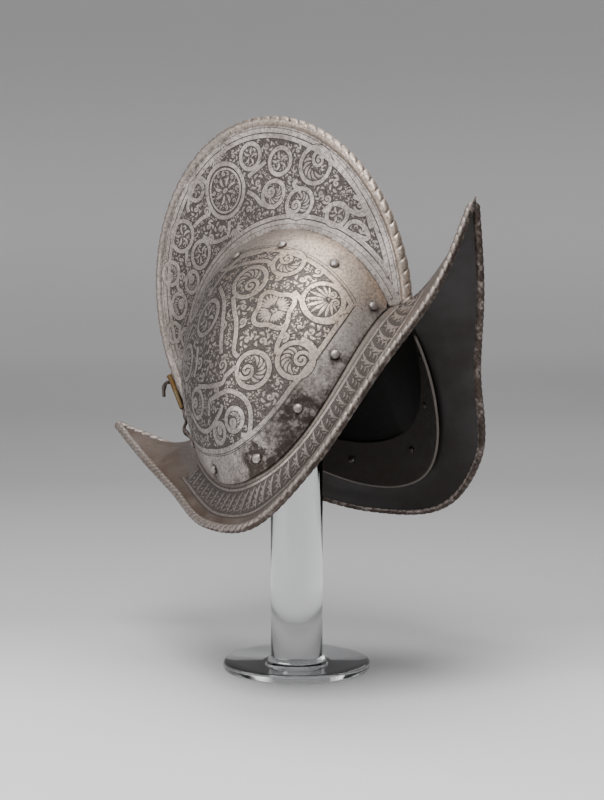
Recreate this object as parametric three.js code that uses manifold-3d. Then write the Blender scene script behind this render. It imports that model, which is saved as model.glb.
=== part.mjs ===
// Morion helmet on a clear display stand, in millimetres, +Z up.
// The origin is the middle of the stand's underside. The helmet looks along +X, nose up.
import * as THREE from 'three';
import { mergeVertices } from 'three/addons/utils/BufferGeometryUtils.js';
import Module from 'manifold-3d';

const wasm = await Module();
wasm.setup();

// Stand
const footRadius = 52.5;
const footEdgeHeight = 6;
const footCrownHeight = 9;
const footEdgeRound = 1.4;
const rodRadius = 18.5;

// Where the helmet sits on the stand
const helmetForward = 34.5;
const helmetHeight = 148;
const nosePitch = 27.7;
const sideLean = 4.8;

// Bowl, measured from the middle of the helmet at the level of the side of the throat
const bowlFrontLength = 93;
const bowlRearLength = 97;
const bowlHalfWidth = 90.5;
const bowlRootRise = 95;
const throatDip = 3;
const throatFrontRise = 81;
const throatRearRise = 75;
const plateWall = 1.3;

// Comb
const combFootHalfWidth = 7;
const combRootHalfWidth = 15.5;
const combEdgeHalfWidth = 2.4;
const combWall = 1.2;
const crestHalfLength = 115;
const crestHalfHeight = 133.7;
const crestCentreRise = 51;
const crestForward = 1;
const combRopeRadius = 4;
const combRopePitch = 8.6;
const combFlangeWidth = 30;

// Brim
const brimHalfLength = 185;
const brimHalfWidth = 109.6;
const brimDrop = 35.5;
const frontPeakRise = 119;
const rearPeakRise = 110;
const brimWall = 1.3;
const brimRopeRadius = 3;
const brimRopePitch = 12.8;
const frontDip = 12;
const rearDip = 20;
const sideDip = 16;

// Leather lining band
const bandWall = 1.8;
const bandHeight = 24;
const bandLip = 1.5;

// Rivets
const rivetHeadRadius = 3.5;
const rivetHeadHeight = 2.1;
const rivetShankRadius = 1.5;
const rivetEndRadius = 2.6;
const rivetEndHeight = 0.9;

// Plume holder at the rear
const plumeTubeTop = 122;
const plumeTubeBottom = 95;
const plumeTopRadius = 4;
const plumeBottomRadius = 2.6;
const plumeWall = 0.8;
const plumeSideways = 3;
const plumeHookRadius = 1.6;
const plumeHookReach = 6;
const plumeHookDrop = 9;
const plumeScrollRadius = 1.3;
const plumeScrollReach = 5;

// Fit
const gap = 0.3;
const rivetHoleGap = 0.3;

// Shape of the outlines: powers of the rounded curves, without a length
const planPower = 1.69;
const throatPower = 2.5;
const rootEase = 1.5;
const bowlBulge = 0.75;
const combHollow = 2.2;
const ropeNotch = 0.22;

// Edge of the brim from the rear peak to the front peak.
// along: share of the half length. out: share of the half width.
// rise: share of the height from the lowest point of the edge up to that end's peak.
const brimEdge = [
  { along: -1, out: 0, rise: 1 },
  { along: -0.8, out: 0.238, rise: 0.728 },
  { along: -0.55, out: 0.53, rise: 0.426 },
  { along: -0.28, out: 0.865, rise: 0.13 },
  { along: 0, out: 1, rise: 0 },
  { along: 0.28, out: 0.905, rise: 0.116 },
  { along: 0.55, out: 0.54, rise: 0.421 },
  { along: 0.8, out: 0.235, rise: 0.682 },
  { along: 1, out: 0, rise: 1 },
];

// Rivets of one side. along: share of the way from the front corner of the bowl to the rear one.
// rise: height over the throat as a share of the lining band, or else
// fall: distance under the comb's root as a share of the comb's flange.
const throatRivets = [
  { along: 0.058, rise: 0.36 },
  { along: 0.195, rise: 0.55 },
  { along: 0.315, rise: 0.62 },
  { along: 0.461, rise: 0.4 },
  { along: 0.674, rise: 0.36 },
  { along: 0.82, rise: 0.36 },
];
const rootRivets = [
  { along: 0.18, fall: 0.52 },
  { along: 0.335, fall: 0.62 },
  { along: 0.475, fall: 0.72 },
];

const degrees = Math.PI / 180;
const sides = [{ name: 'right', sign: -1 }, { name: 'left', sign: 1 }];

const steel = { color: 0x8f8a85, roughness: 0.42, metalness: 0.9 };
const darkSteel = { color: 0x5c5652, roughness: 0.5, metalness: 0.9 };
const brass = { color: 0xa98c52, roughness: 0.4, metalness: 0.9 };
const leather = { color: 0x2c211a, roughness: 0.8, metalness: 0 };
const clear = { color: 0xdfe5e6, roughness: 0.05, metalness: 0 };

// A body of sheet: two grids of points with the same rows and columns, joined along their edges.
// mirrored(row, column) says where a quad is split along its other diagonal.
function sheet(outer, inner, ring = false, mirrored = () => false) {
  const rows = outer.length;
  const columns = outer[0].length;
  const positions = [];
  for (const grid of [outer, inner]) {
    for (const row of grid) {
      for (const point of row) positions.push(point.x, point.y, point.z);
    }
  }
  const at = (layer, row, column) => (layer * rows + (row % rows)) * columns + column;
  const index = [];
  const quad = (a, b, c, d) => index.push(a, b, c, a, c, d);
  const otherQuad = (a, b, c, d) => index.push(a, b, d, b, c, d);
  const last = columns - 1;
  const spans = ring ? rows : rows - 1;
  for (let row = 0; row < spans; row++) {
    for (let column = 0; column < last; column++) {
      const split = mirrored(row, column) ? otherQuad : quad;
      split(at(0, row, column), at(0, row + 1, column), at(0, row + 1, column + 1), at(0, row, column + 1));
      split(at(1, row, column), at(1, row, column + 1), at(1, row + 1, column + 1), at(1, row + 1, column));
    }
    quad(at(0, row, 0), at(1, row, 0), at(1, row + 1, 0), at(0, row + 1, 0));
    quad(at(0, row, last), at(0, row + 1, last), at(1, row + 1, last), at(1, row, last));
  }
  if (!ring) {
    const end = rows - 1;
    for (let column = 0; column < last; column++) {
      quad(at(0, 0, column), at(0, 0, column + 1), at(1, 0, column + 1), at(1, 0, column));
      quad(at(0, end, column + 1), at(0, end, column), at(1, end, column), at(1, end, column + 1));
    }
  }
  return outward(positions, index);
}

// A body through rings of points, closed by a flat fan at each end.
function rings(loops) {
  const count = loops[0].length;
  const positions = [];
  for (const loop of loops) {
    for (const point of loop) positions.push(point.x, point.y, point.z);
  }
  const index = [];
  for (let row = 0; row < loops.length - 1; row++) {
    for (let k = 0; k < count; k++) {
      const a = row * count + k;
      const b = row * count + (k + 1) % count;
      index.push(a, b, b + count, a, b + count, a + count);
    }
  }
  const end = (loops.length - 1) * count;
  for (let k = 1; k < count - 1; k++) {
    index.push(0, k + 1, k);
    index.push(end, end + k, end + k + 1);
  }
  return outward(positions, index);
}

// A geometry whose faces point out of the body.
function outward(positions, index) {
  const geometry = new THREE.BufferGeometry();
  geometry.setAttribute('position', new THREE.Float32BufferAttribute(positions, 3));
  const corner = [0, 1, 2].map(() => new THREE.Vector3());
  let volume = 0;
  for (let i = 0; i < index.length; i += 3) {
    corner.forEach((point, k) => point.fromArray(positions, 3 * index[i + k]));
    volume += corner[0].dot(corner[1].cross(corner[2]));
  }
  geometry.setIndex(volume < 0 ? index.slice().reverse() : index);
  return geometry;
}

function solidOf(geometry) {
  const bare = geometry.clone();
  bare.deleteAttribute('normal');
  bare.deleteAttribute('uv');
  const merged = mergeVertices(bare, 1e-4);
  return new wasm.Manifold(new wasm.Mesh({
    numProp: 3,
    vertProperties: new Float32Array(merged.attributes.position.array),
    triVerts: new Uint32Array(merged.index.array),
  }));
}

function geometryOf(solid) {
  const mesh = solid.getMesh();
  const geometry = new THREE.BufferGeometry();
  geometry.setAttribute('position', new THREE.Float32BufferAttribute(mesh.vertProperties, 3));
  geometry.setIndex(Array.from(mesh.triVerts));
  return geometry;
}

function piece(parent, name, geometry, finish) {
  const mesh = new THREE.Mesh(geometry, new THREE.MeshStandardMaterial(finish));
  mesh.name = name;
  parent.add(mesh);
  return mesh;
}

const mix = THREE.MathUtils.lerp;
const raise = (base, power) => Math.sign(base) * Math.abs(base) ** power;
const stations = (from, to, count) => Array.from({ length: count + 1 }, (_, i) => mix(from, to, i / count));

// Lower edge of the bowl, from the front over one side to the rear.
function throat(angle, sign) {
  const forward = Math.cos(angle);
  const length = forward > 0 ? bowlFrontLength : bowlRearLength;
  const rise = forward > 0 ? throatFrontRise : throatRearRise;
  return new THREE.Vector3(
    length * raise(forward, 2 / planPower),
    sign * bowlHalfWidth * Math.abs(Math.sin(angle)) ** (2 / planPower),
    (throatDip + rise) * Math.abs(forward) ** throatPower - throatDip,
  );
}

// Angle of the throat at which the bowl plates meet the foot of the comb.
const cornerAngle = Math.asin((combFootHalfWidth / bowlHalfWidth) ** (planPower / 2));
const frontCorner = throat(cornerAngle, 1);
const rearCorner = throat(Math.PI - cornerAngle, 1);

// Upper edge of a bowl plate, along the root of the comb. share runs from front to rear.
function root(share, sign) {
  const angle = share * Math.PI;
  const toRear = (1 - Math.cos(angle)) / 2;
  const widening = Math.max(Math.sin(angle), 0);
  return new THREE.Vector3(
    Math.cos(angle) * mix(frontCorner.x, -rearCorner.x, toRear),
    sign * mix(combFootHalfWidth, combRootHalfWidth, widening),
    mix(frontCorner.z, rearCorner.z, toRear) + bowlRootRise * Math.sin(angle),
  );
}

// Outer surface of a bowl plate. down runs from 0 at the root to 1 at the throat.
function bowl(share, down, sign) {
  const low = throat(mix(cornerAngle, Math.PI - cornerAngle, share), sign);
  const high = root(share, sign);
  const out = raise(Math.sin(down * Math.PI / 2), rootEase);
  const up = raise(Math.cos(down * Math.PI / 2), bowlBulge);
  return new THREE.Vector3(mix(high.x, low.x, out), mix(high.y, low.y, out), mix(low.z, high.z, up));
}

function bowlNormal(share, down, sign) {
  const step = 1e-3;
  const along = bowl(share + step, down, sign).sub(bowl(share - step, down, sign));
  const across = bowl(share, down + step, sign).sub(bowl(share, down - step, sign));
  return across.cross(along).multiplyScalar(sign).normalize();
}

function underBowl(share, down, sign, depth) {
  return bowl(share, down, sign).addScaledVector(bowlNormal(share, down, sign), -depth);
}

// Value of down at a distance from the root, or at a height over the throat.
function downFromRoot(share, distance) {
  const low = throat(mix(cornerAngle, Math.PI - cornerAngle, share), 1);
  const high = root(share, 1);
  const reach = Math.hypot(low.x - high.x, low.y - high.y);
  return Math.asin(raise(Math.min(distance / reach, 0.6), 1 / rootEase)) * 2 / Math.PI;
}

function downFromThroat(share, height) {
  const low = throat(mix(cornerAngle, Math.PI - cornerAngle, share), 1);
  const part = Math.min(height / (root(share, 1).z - low.z), 0.92);
  return Math.acos(raise(part, 1 / bowlBulge)) * 2 / Math.PI;
}

// What lies under a plate has the plate's own stations, so that its facets run level with the plate's.
const bowlShares = stations(0.01, 0.99, 22);
function flangeLevels(share) {
  const end = downFromRoot(share, combFlangeWidth);
  return [0.5 * end, end];
}
function neckLevels(share) {
  const end = downFromThroat(share, bandHeight);
  return [end, mix(end, 1, 0.55), 1];
}
function plateLevels(share) {
  const upper = flangeLevels(share);
  const lower = neckLevels(share);
  return [0, ...upper, ...[0.35, 0.7].map((part) => mix(upper[1], lower[0], part)), ...lower];
}
const fade = (share, from, to) => THREE.MathUtils.smoothstep(Math.min(share, 1 - share), from, to);

// A strip that follows the bowl at a depth under it.
function strip(shares, downs, sign, depth, wall) {
  const grid = (under) => shares.map((share) => downs(share).map((down) => underBowl(share, down, sign, under)));
  return sheet(grid(depth), grid(depth + wall));
}

// Crest line of the comb, drawn in by inset. share runs from front to rear.
const crestStart = -Math.asin(crestCentreRise / crestHalfHeight);
function crest(share, inset) {
  const angle = mix(crestStart, Math.PI - crestStart, share);
  return new THREE.Vector3(
    crestForward + (crestHalfLength - inset) * Math.cos(angle),
    0,
    mix(frontCorner.z, rearCorner.z, share) + crestCentreRise + (crestHalfHeight - inset) * Math.sin(angle),
  );
}

// Twisted rope along a curve: the corners of each ring stand high and low by turns.
function rope(curve, radius, pitch, across, corners) {
  const count = 2 * Math.max(4, Math.round(curve.getLength() / pitch));
  const loops = [];
  for (let i = 0; i <= count; i++) {
    const centre = curve.getPointAt(i / count);
    const tangent = curve.getTangentAt(i / count);
    const first = across.clone().cross(tangent).normalize();
    const second = tangent.clone().cross(first);
    const loop = [];
    for (let k = 0; k < corners; k++) {
      const angle = k / corners * 2 * Math.PI;
      const reach = radius * ((i + k) % 2 ? 1 - ropeNotch : 1);
      loop.push(centre.clone()
        .addScaledVector(first, reach * Math.cos(angle))
        .addScaledVector(second, reach * Math.sin(angle)));
    }
    loops.push(loop);
  }
  return rings(loops);
}

// Edge of the brim on one side, from the front peak to the rear peak.
function brimEdgeCurve(sign) {
  const points = brimEdge.slice().reverse().map((row) => {
    const peak = row.along > 0 ? frontPeakRise : rearPeakRise;
    return new THREE.Vector3(
      row.along * (brimHalfLength - brimRopeRadius),
      sign * row.out * (brimHalfWidth - brimRopeRadius),
      row.rise * (brimDrop + peak) - brimDrop,
    );
  });
  return new THREE.CatmullRomCurve3(points);
}
const edgeCurves = new Map(sides.map(({ sign }) => [sign, brimEdgeCurve(sign)]));

// Upper surface of the brim. turn runs from 0 at the front to 1 at the rear, out from the throat to the edge.
const underPlate = plateWall + gap;
function brimTop(turn, out, sign) {
  const angle = turn * Math.PI;
  const share = (angle - cornerAngle) / (Math.PI - 2 * cornerAngle);
  const seat = underBowl(THREE.MathUtils.clamp(share, 0.01, 0.99), 1, sign, underPlate);
  const start = throat(angle, sign);
  if (share > 0.01 && share < 0.99) start.copy(seat);
  else start.set(seat.x, seat.y * Math.min(Math.sin(angle) / Math.sin(cornerAngle), 1), start.z);
  start.z -= gap;
  const end = edgeCurves.get(sign).getPointAt(turn);
  const sideways = Math.sin(angle) ** 2;
  const dip = mix(angle < Math.PI / 2 ? frontDip : rearDip, sideDip, sideways);
  const bend = start.clone().lerp(end, mix(0.35, 0.12, sideways));
  bend.z = start.z - dip;
  return new THREE.QuadraticBezierCurve3(start, bend, end).getPoint(out);
}

function brimUnder(turn, out, sign, depth) {
  const step = 1e-3;
  const near = THREE.MathUtils.clamp(turn, step, 1 - step);
  const along = brimTop(near + step, out, sign).sub(brimTop(near - step, out, sign));
  const across = brimTop(near, out + step, sign).sub(brimTop(near, out - step, sign));
  const normal = across.cross(along).multiplyScalar(sign);
  if (turn < step || turn > 1 - step) normal.y = 0;
  return brimTop(turn, out, sign).addScaledVector(normal.normalize(), -depth);
}

// The neck of the brim, inside the plates: it ends in a short tongue under each foot of the comb.
const tongue = 1.5;
function brimNeck(turn, level, sign, inward) {
  const share = (turn * Math.PI - cornerAngle) / (Math.PI - 2 * cornerAngle);
  const inside = THREE.MathUtils.clamp(share, 0.01, 0.99);
  const levels = neckLevels(inside);
  const wall = underBowl(inside, levels[level], sign, underPlate + inward);
  const corner = brimTop(turn, 0, sign);
  const pull = 1 - tongue * (1 - level / 2) / Math.hypot(corner.x, corner.y);
  corner.set(corner.x * pull, corner.y * pull, corner.z - inward);
  return corner.lerp(wall, fade(share, 0.03, 0.075));
}

// The brim all round, as rows from the front over the left side, the rear and the right side.
const turnOf = (share) => (cornerAngle + share * (Math.PI - 2 * cornerAngle)) / Math.PI;
const brimTurns = [0, ...bowlShares.map(turnOf), 1];
function brimRows(outs, place) {
  const row = (turn, sign) => outs.map((out) => place(turn, out, sign));
  const left = brimTurns.slice(0, -1).map((turn) => row(turn, 1));
  const right = brimTurns.slice(1).map((turn) => row(turn, -1)).reverse();
  return [...left, ...right];
}
const brimOuts = [0, 0.2, 0.55, 1];

// Everything below the brim's upper surface, with a gap over it: it trims what stands on the brim.
const trimDepth = 30;
const trimInside = 8;
const overBrim = brimRows([-1, ...brimOuts], (turn, out, sign) => {
  const point = brimTop(turn, Math.max(out, 0), sign);
  const radius = Math.hypot(point.x, point.y);
  if (out < 0) point.set(point.x * (1 - trimInside / radius), point.y * (1 - trimInside / radius), point.z);
  return point.setZ(point.z + gap);
});
const belowBrim = overBrim.map((row) => row.map((point) => point.clone().setZ(point.z - trimDepth)));
const rightRows = (row) => row >= brimTurns.length - 1;
const brimTrim = solidOf(sheet(overBrim, belowBrim, true, rightRows));

// Rivets: where each one sits, which way it points and how long its shank is.
const underFlange = underPlate + combWall;
const underNeck = underPlate + brimWall;
const underBand = underNeck + gap + bandWall;
const rivets = [];
for (const { name, sign } of sides) {
  throatRivets.forEach((row, i) => {
    const down = downFromThroat(row.along, row.rise * bandHeight);
    rivets.push({ name: `throat_rivet_${name}_${i + 1}`, share: row.along, down, sign, grip: underBand });
  });
  rootRivets.forEach((row, i) => {
    const down = downFromRoot(row.along, row.fall * combFlangeWidth);
    rivets.push({ name: `root_rivet_${name}_${i + 1}`, share: row.along, down, sign, grip: underFlange });
  });
}
function onPlate(share, down, sign) {
  const after = bowlShares.findIndex((station) => station > share);
  const part = (share - bowlShares[after - 1]) / (bowlShares[after] - bowlShares[after - 1]);
  const levels = plateLevels(share);
  const under = Math.min(levels.findIndex((level) => level > down), levels.length - 1);
  const step = (down - levels[under - 1]) / (levels[under] - levels[under - 1]);
  const corners = [after - 1, after].map((station) => {
    const own = plateLevels(bowlShares[station]);
    return [under - 1, under].map((level) => bowl(bowlShares[station], own[level], sign));
  });
  const [front, rear] = corners.map(([upper, lower]) => upper.clone().lerp(lower, step));
  const fall = corners[0][1].clone().sub(corners[0][0]).lerp(corners[1][1].clone().sub(corners[1][0]), part);
  const normal = fall.cross(rear.clone().sub(front)).multiplyScalar(sign).normalize();
  return { point: front.lerp(rear, part), normal };
}
const rivetCorners = 8;
const holeCorners = 6;
const holeRadius = (rivetShankRadius + rivetHoleGap) / Math.cos(Math.PI / holeCorners);
for (const rivet of rivets) {
  const { point, normal } = onPlate(rivet.share, rivet.down, rivet.sign);
  rivet.matrix = new THREE.Matrix4().compose(
    point,
    new THREE.Quaternion().setFromUnitVectors(new THREE.Vector3(0, 1, 0), normal),
    new THREE.Vector3(1, 1, 1),
  );
  const drill = new THREE.CylinderGeometry(holeRadius, holeRadius, 2 * rivet.grip + 6, holeCorners);
  rivet.drill = solidOf(drill.applyMatrix4(rivet.matrix));
}
const drilled = (solid, passes) => rivets
  .filter(passes)
  .reduce((body, rivet) => body.subtract(rivet.drill), solid);
const atThroat = (rivet) => rivet.grip === underBand;
const atRoot = (rivet) => rivet.grip === underFlange;

function rivetGeometry(grip) {
  const profile = [
    [0, rivetHeadHeight],
    [0.72 * rivetHeadRadius, 0.72 * rivetHeadHeight],
    [rivetHeadRadius, gap],
    [rivetShankRadius, gap],
    [rivetShankRadius, -grip - gap],
    [rivetEndRadius, -grip - gap],
    [0, -grip - gap - rivetEndHeight],
  ];
  return new THREE.LatheGeometry(profile.map(([x, y]) => new THREE.Vector2(x, y)).reverse(), rivetCorners);
}

const model = new THREE.Group();
const stand = new THREE.Group();
const helmet = new THREE.Group();
model.add(stand, helmet);
helmet.position.set(helmetForward, 0, helmetHeight);
helmet.rotation.set(-sideLean * degrees, -nosePitch * degrees, 0, 'YXZ');
helmet.updateMatrixWorld(true);

// Bowl plates
for (const { name, sign } of sides) {
  const plate = solidOf(strip(bowlShares, plateLevels, sign, 0, plateWall));
  piece(helmet, `bowl_${name}`, geometryOf(drilled(plate, (rivet) => rivet.sign === sign)), steel);
}

// Comb: two walls that meet at the crest, a flange under each plate and a rope along the crest
const footRun = 0.035;
const combShares = [-footRun, ...bowlShares, 1 + footRun];
const combSteps = [0, 0.1, 0.35, 1];
const combGridHalf = combSteps.length + 3;
const combPoint = (share, step, inward, sign) => {
  const low = root(share, sign);
  const high = crest(share, combRopeRadius);
  const plateEdge = underBowl(THREE.MathUtils.clamp(share, 0.01, 0.99), 0, sign, plateWall);
  const spread = Math.min(Math.abs(low.y), Math.abs(plateEdge.y)) - gap;
  const half = combEdgeHalfWidth + (spread - combEdgeHalfWidth) * (1 - Math.max(step, 0)) ** combHollow;
  return low.setY(0).lerp(high, step).setY(sign * (half - inward));
};
const combSide = (share, inward, sign) => {
  const height = root(share, 0).distanceTo(crest(share, combRopeRadius));
  const top = 1 - 2 * inward / height;
  const bend = -(underPlate + inward) / height;
  const inside = THREE.MathUtils.clamp(share, 0.01, 0.99);
  const steps = [bend, ...combSteps.map((step) => step * top)];
  const flange = flangeLevels(inside).reverse().map((level, i) => {
    const wall = combPoint(share, bend - (1 - 0.5 * i) * combWall / height, inward, sign);
    const under = underBowl(inside, level, sign, underPlate + inward);
    return wall.lerp(under, fade(share, 0.09, 0.16));
  });
  return [...flange, ...steps.map((step) => combPoint(share, step, inward, sign))];
};
const combGrid = (inward) => combShares.map((share) => (
  [...combSide(share, inward, -1), ...combSide(share, inward, 1).reverse()]));
const rightHalf = (row, column) => column < combGridHalf;
let combSolid = solidOf(sheet(combGrid(0), combGrid(combWall), false, rightHalf));
const crestCurve = new THREE.CatmullRomCurve3(combShares.map((share) => crest(share, combRopeRadius)));
const acrossComb = new THREE.Vector3(0, 1, 0);
combSolid = combSolid.add(solidOf(rope(crestCurve, combRopeRadius, combRopePitch, acrossComb, 5)));
piece(helmet, 'comb', geometryOf(drilled(combSolid, atRoot).subtract(brimTrim)), steel);

// Brim: the sheet, its neck inside the plates and the roped edge
const brimGrid = (inward) => {
  const neck = [0, 1].map((level) => brimRows([level], (turn, out, sign) => brimNeck(turn, level, sign, inward)));
  const flare = brimRows(brimOuts, (turn, out, sign) => brimUnder(turn, out, sign, inward));
  return flare.map((row, i) => [neck[0][i][0], neck[1][i][0], ...row]);
};
let brimSolid = solidOf(sheet(brimGrid(0), brimGrid(brimWall), true, rightRows));
const up = new THREE.Vector3(0, 0, 1);
for (const { sign } of sides) {
  brimSolid = brimSolid.add(solidOf(rope(edgeCurves.get(sign), brimRopeRadius, brimRopePitch, up, 4)));
}
piece(helmet, 'brim', geometryOf(drilled(brimSolid, atThroat)), steel);

// Lining band: one leather strip all round, straight across inside the foot of the comb
const bandShares = bowlShares.filter((share) => Math.min(share, 1 - share) > 0.06);
const bandGrid = (depth) => {
  const side = (sign) => bandShares.map((share) => {
    const levels = [...neckLevels(share).slice(0, 2), downFromThroat(share, -bandLip)];
    return levels.map((level) => underBowl(share, level, sign, depth));
  });
  return [...side(1), ...side(-1).reverse()];
};
const bandSolid = solidOf(sheet(bandGrid(underNeck + gap), bandGrid(underBand), true,
  (row) => row >= bandShares.length));
piece(helmet, 'lining_band', geometryOf(drilled(bandSolid, atThroat)), leather);

for (const rivet of rivets) {
  const mesh = piece(helmet, rivet.name, rivetGeometry(rivet.grip), darkSteel);
  mesh.applyMatrix4(rivet.matrix);
}

// Plume holder: a tapered brass gutter on a scroll that stands on the brim, with a hook at its top
const crestBack = (height) => {
  const part = (height - rearCorner.z - crestCentreRise) / crestHalfHeight;
  return crestForward - crestHalfLength * Math.sqrt(1 - part * part);
};
const plumeX = crestBack(plumeTubeTop) - plumeTopRadius;
const tubeAngles = stations(-150, 150, 10);
const tubeGrid = (inset) => [0, 0.5, 1].map((part) => tubeAngles.map((angle) => {
  const radius = mix(plumeBottomRadius, plumeTopRadius, part) - inset;
  return new THREE.Vector3(
    plumeX - radius * Math.cos(angle * degrees),
    plumeSideways + radius * Math.sin(angle * degrees),
    mix(plumeTubeBottom, plumeTubeTop, part),
  );
}));
piece(helmet, 'plume_tube', sheet(tubeGrid(0), tubeGrid(plumeWall)), brass);

function rod(points, radius, name, finish, trim) {
  const curve = new THREE.CatmullRomCurve3(points);
  const section = new THREE.Shape().absarc(0, 0, radius, 0, 2 * Math.PI);
  const body = new THREE.ExtrudeGeometry(section,
    { steps: 2 * points.length, curveSegments: 3, bevelEnabled: false, extrudePath: curve });
  const solid = solidOf(body);
  piece(helmet, name, geometryOf(trim ? solid.subtract(trim) : solid), finish);
}
const hookX = plumeX - plumeTopRadius - gap;
const hookZ = plumeTubeTop - 4;
const down = new THREE.Vector3(0, 0, -1).applyQuaternion(helmet.quaternion.clone().invert());
const hookTurn = new THREE.Vector3(hookX - plumeHookReach, plumeSideways, hookZ);
rod([
  new THREE.Vector3(hookX, plumeSideways, hookZ),
  new THREE.Vector3(hookX - 0.6 * plumeHookReach, plumeSideways, hookZ + 0.5),
  hookTurn.clone().addScaledVector(down, 0.25 * plumeHookDrop),
  hookTurn.clone().addScaledVector(down, plumeHookDrop),
], plumeHookRadius, 'plume_hook', darkSteel, null);

const scrollTop = plumeTubeBottom - gap;
rod([
  new THREE.Vector3(plumeX, plumeSideways, scrollTop),
  new THREE.Vector3(plumeX, plumeSideways, scrollTop - 9),
  new THREE.Vector3(plumeX - plumeScrollReach, plumeSideways, scrollTop - 14),
  new THREE.Vector3(plumeX - 0.6 * plumeScrollReach, plumeSideways, scrollTop - 20),
  new THREE.Vector3(plumeX, plumeSideways, scrollTop - 26),
  new THREE.Vector3(plumeX, plumeSideways, scrollTop - 33),
], plumeScrollRadius, 'plume_scroll', darkSteel, brimTrim);

// Stand: a turned foot and a rod that reaches up to the inside of the bowl
const footProfile = [
  [0, 0],
  [footRadius - footEdgeRound, 0],
  [footRadius, footEdgeRound],
  [footRadius, footEdgeHeight - footEdgeRound],
  [footRadius - footEdgeRound, footEdgeHeight],
  [mix(rodRadius, footRadius, 0.5), mix(footEdgeHeight, footCrownHeight, 0.65)],
  [rodRadius + footEdgeRound, footCrownHeight],
  [0, footCrownHeight],
];
const foot = new THREE.LatheGeometry(footProfile.map(([x, y]) => new THREE.Vector2(x, y)), 32);
piece(stand, 'stand_foot', foot.rotateX(Math.PI / 2), clear);

const rodLength = helmetHeight + bowlRootRise + throatFrontRise;
const longRod = new THREE.CylinderGeometry(rodRadius, rodRadius, rodLength, 24).rotateX(Math.PI / 2);
longRod.translate(0, 0, rodLength / 2 + footCrownHeight);
let ceiling = solidOf(longRod);
const coverHeight = 40;
for (const { sign } of sides) {
  const grid = (depth) => bowlShares.slice(3, -3).map((share) => {
    const step = Math.min(-depth / root(share, 0).distanceTo(crest(share, combRopeRadius)), 0.5);
    const bend = combPoint(share, step, combWall + gap, sign);
    const under = plateLevels(share).slice(1).map((level) => underBowl(share, level, sign, depth));
    return [bend.clone().setY(-sign), bend, ...under];
  });
  const cover = sheet(grid(-coverHeight), grid(underFlange + gap));
  ceiling = ceiling.subtract(solidOf(cover.applyMatrix4(helmet.matrixWorld)));
}
for (const rivet of rivets.filter(atRoot)) {
  const reach = 2 * (rivet.grip + rivetEndHeight + 2 * gap);
  const clearance = new THREE.CylinderGeometry(rivetEndRadius + gap, rivetEndRadius + gap, reach, rivetCorners);
  ceiling = ceiling.subtract(solidOf(clearance.applyMatrix4(rivet.matrix).applyMatrix4(helmet.matrixWorld)));
}
piece(stand, 'stand_rod', geometryOf(ceiling), clear);

export default model;
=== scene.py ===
"""Looks of a morion helmet on a clear display stand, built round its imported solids, in metres."""

import math

import bmesh
import bpy
import numpy as np
from bpy.props import FloatProperty, FloatVectorProperty, IntProperty, PointerProperty
from mathutils import Euler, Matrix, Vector
from mathutils.bvhtree import BVHTree


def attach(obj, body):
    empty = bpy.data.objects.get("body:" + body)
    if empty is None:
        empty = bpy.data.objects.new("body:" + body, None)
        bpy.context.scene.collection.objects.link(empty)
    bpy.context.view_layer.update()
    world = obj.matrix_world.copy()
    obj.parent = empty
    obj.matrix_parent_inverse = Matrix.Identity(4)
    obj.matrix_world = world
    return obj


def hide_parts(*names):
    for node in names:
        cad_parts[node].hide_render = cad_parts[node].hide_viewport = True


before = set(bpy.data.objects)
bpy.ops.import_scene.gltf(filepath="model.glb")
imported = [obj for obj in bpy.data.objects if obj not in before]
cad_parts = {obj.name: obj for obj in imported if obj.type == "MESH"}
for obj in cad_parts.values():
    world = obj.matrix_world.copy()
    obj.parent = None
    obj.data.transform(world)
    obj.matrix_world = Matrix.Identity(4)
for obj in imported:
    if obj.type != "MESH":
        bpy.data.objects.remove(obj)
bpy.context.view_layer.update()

bl_info = {
    "name": "Morion Helmet on a Stand",
    "version": (1, 0, 0),
    "blender": (4, 5, 0),
    "location": "3D View > Sidebar > Morion",
    "description": "Builds an etched comb morion with its rivets, plume holder and clear stand",
    "category": "Add Mesh",
}

MM = 0.001
SIDES = (("right", -1), ("left", 1))

# Powers of the rounded curves, the same as in the solids
PLAN_POWER = 1.69
THROAT_POWER = 2.5
ROOT_EASE = 1.5
BOWL_BULGE = 0.75
COMB_HOLLOW = 2.2

# Edge of the brim from the front peak to the rear one: share of the half length, of the half width
# and of the rise from the lowest point to that end's peak
BRIM_EDGE = (
    (1, 0, 1), (0.8, 0.235, 0.682), (0.55, 0.54, 0.421), (0.28, 0.905, 0.116), (0, 1, 0),
    (-0.28, 0.865, 0.13), (-0.55, 0.53, 0.426), (-0.8, 0.238, 0.728), (-1, 0, 1),
)

# Where the plates start and end, as shares of the way from the front to the rear
PLATE_ENDS = (0.01, 0.99)

# How far the brim's tongue reaches in under the comb's feet
TONGUE = 0.0015

# Rivets: share of the way from the front corner of the bowl, and height over the throat as a share
# of the lining band, or fall under the comb's root as a share of its flange
THROAT_RIVETS = ((0.058, 0.36), (0.195, 0.55), (0.315, 0.62), (0.461, 0.4), (0.674, 0.36), (0.82, 0.36))
ROOT_RIVETS = ((0.18, 0.52), (0.335, 0.62), (0.475, 0.72))


def mix(a, b, part):
    return a + (b - a) * part


def raised(base, power):
    return np.sign(base) * np.abs(base) ** power


def points_of(x, y, z):
    return np.stack(np.broadcast_arrays(x, y, z), -1).astype(float)


def unit(vectors):
    return vectors / np.maximum(np.linalg.norm(vectors, axis=-1, keepdims=True), 1e-12)


def run_of(points):
    """Length along points up to each of them."""
    return np.concatenate([[0], np.cumsum(np.linalg.norm(np.diff(points, axis=0), axis=1))])


def smooth(low, high, value):
    part = np.clip((value - low) / (high - low), 0, 1)
    return part * part * (3 - 2 * part)


def length(name, description, default):
    return FloatProperty(name=name, description=description, default=default, min=0, precision=4,
                         unit="LENGTH")


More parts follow.
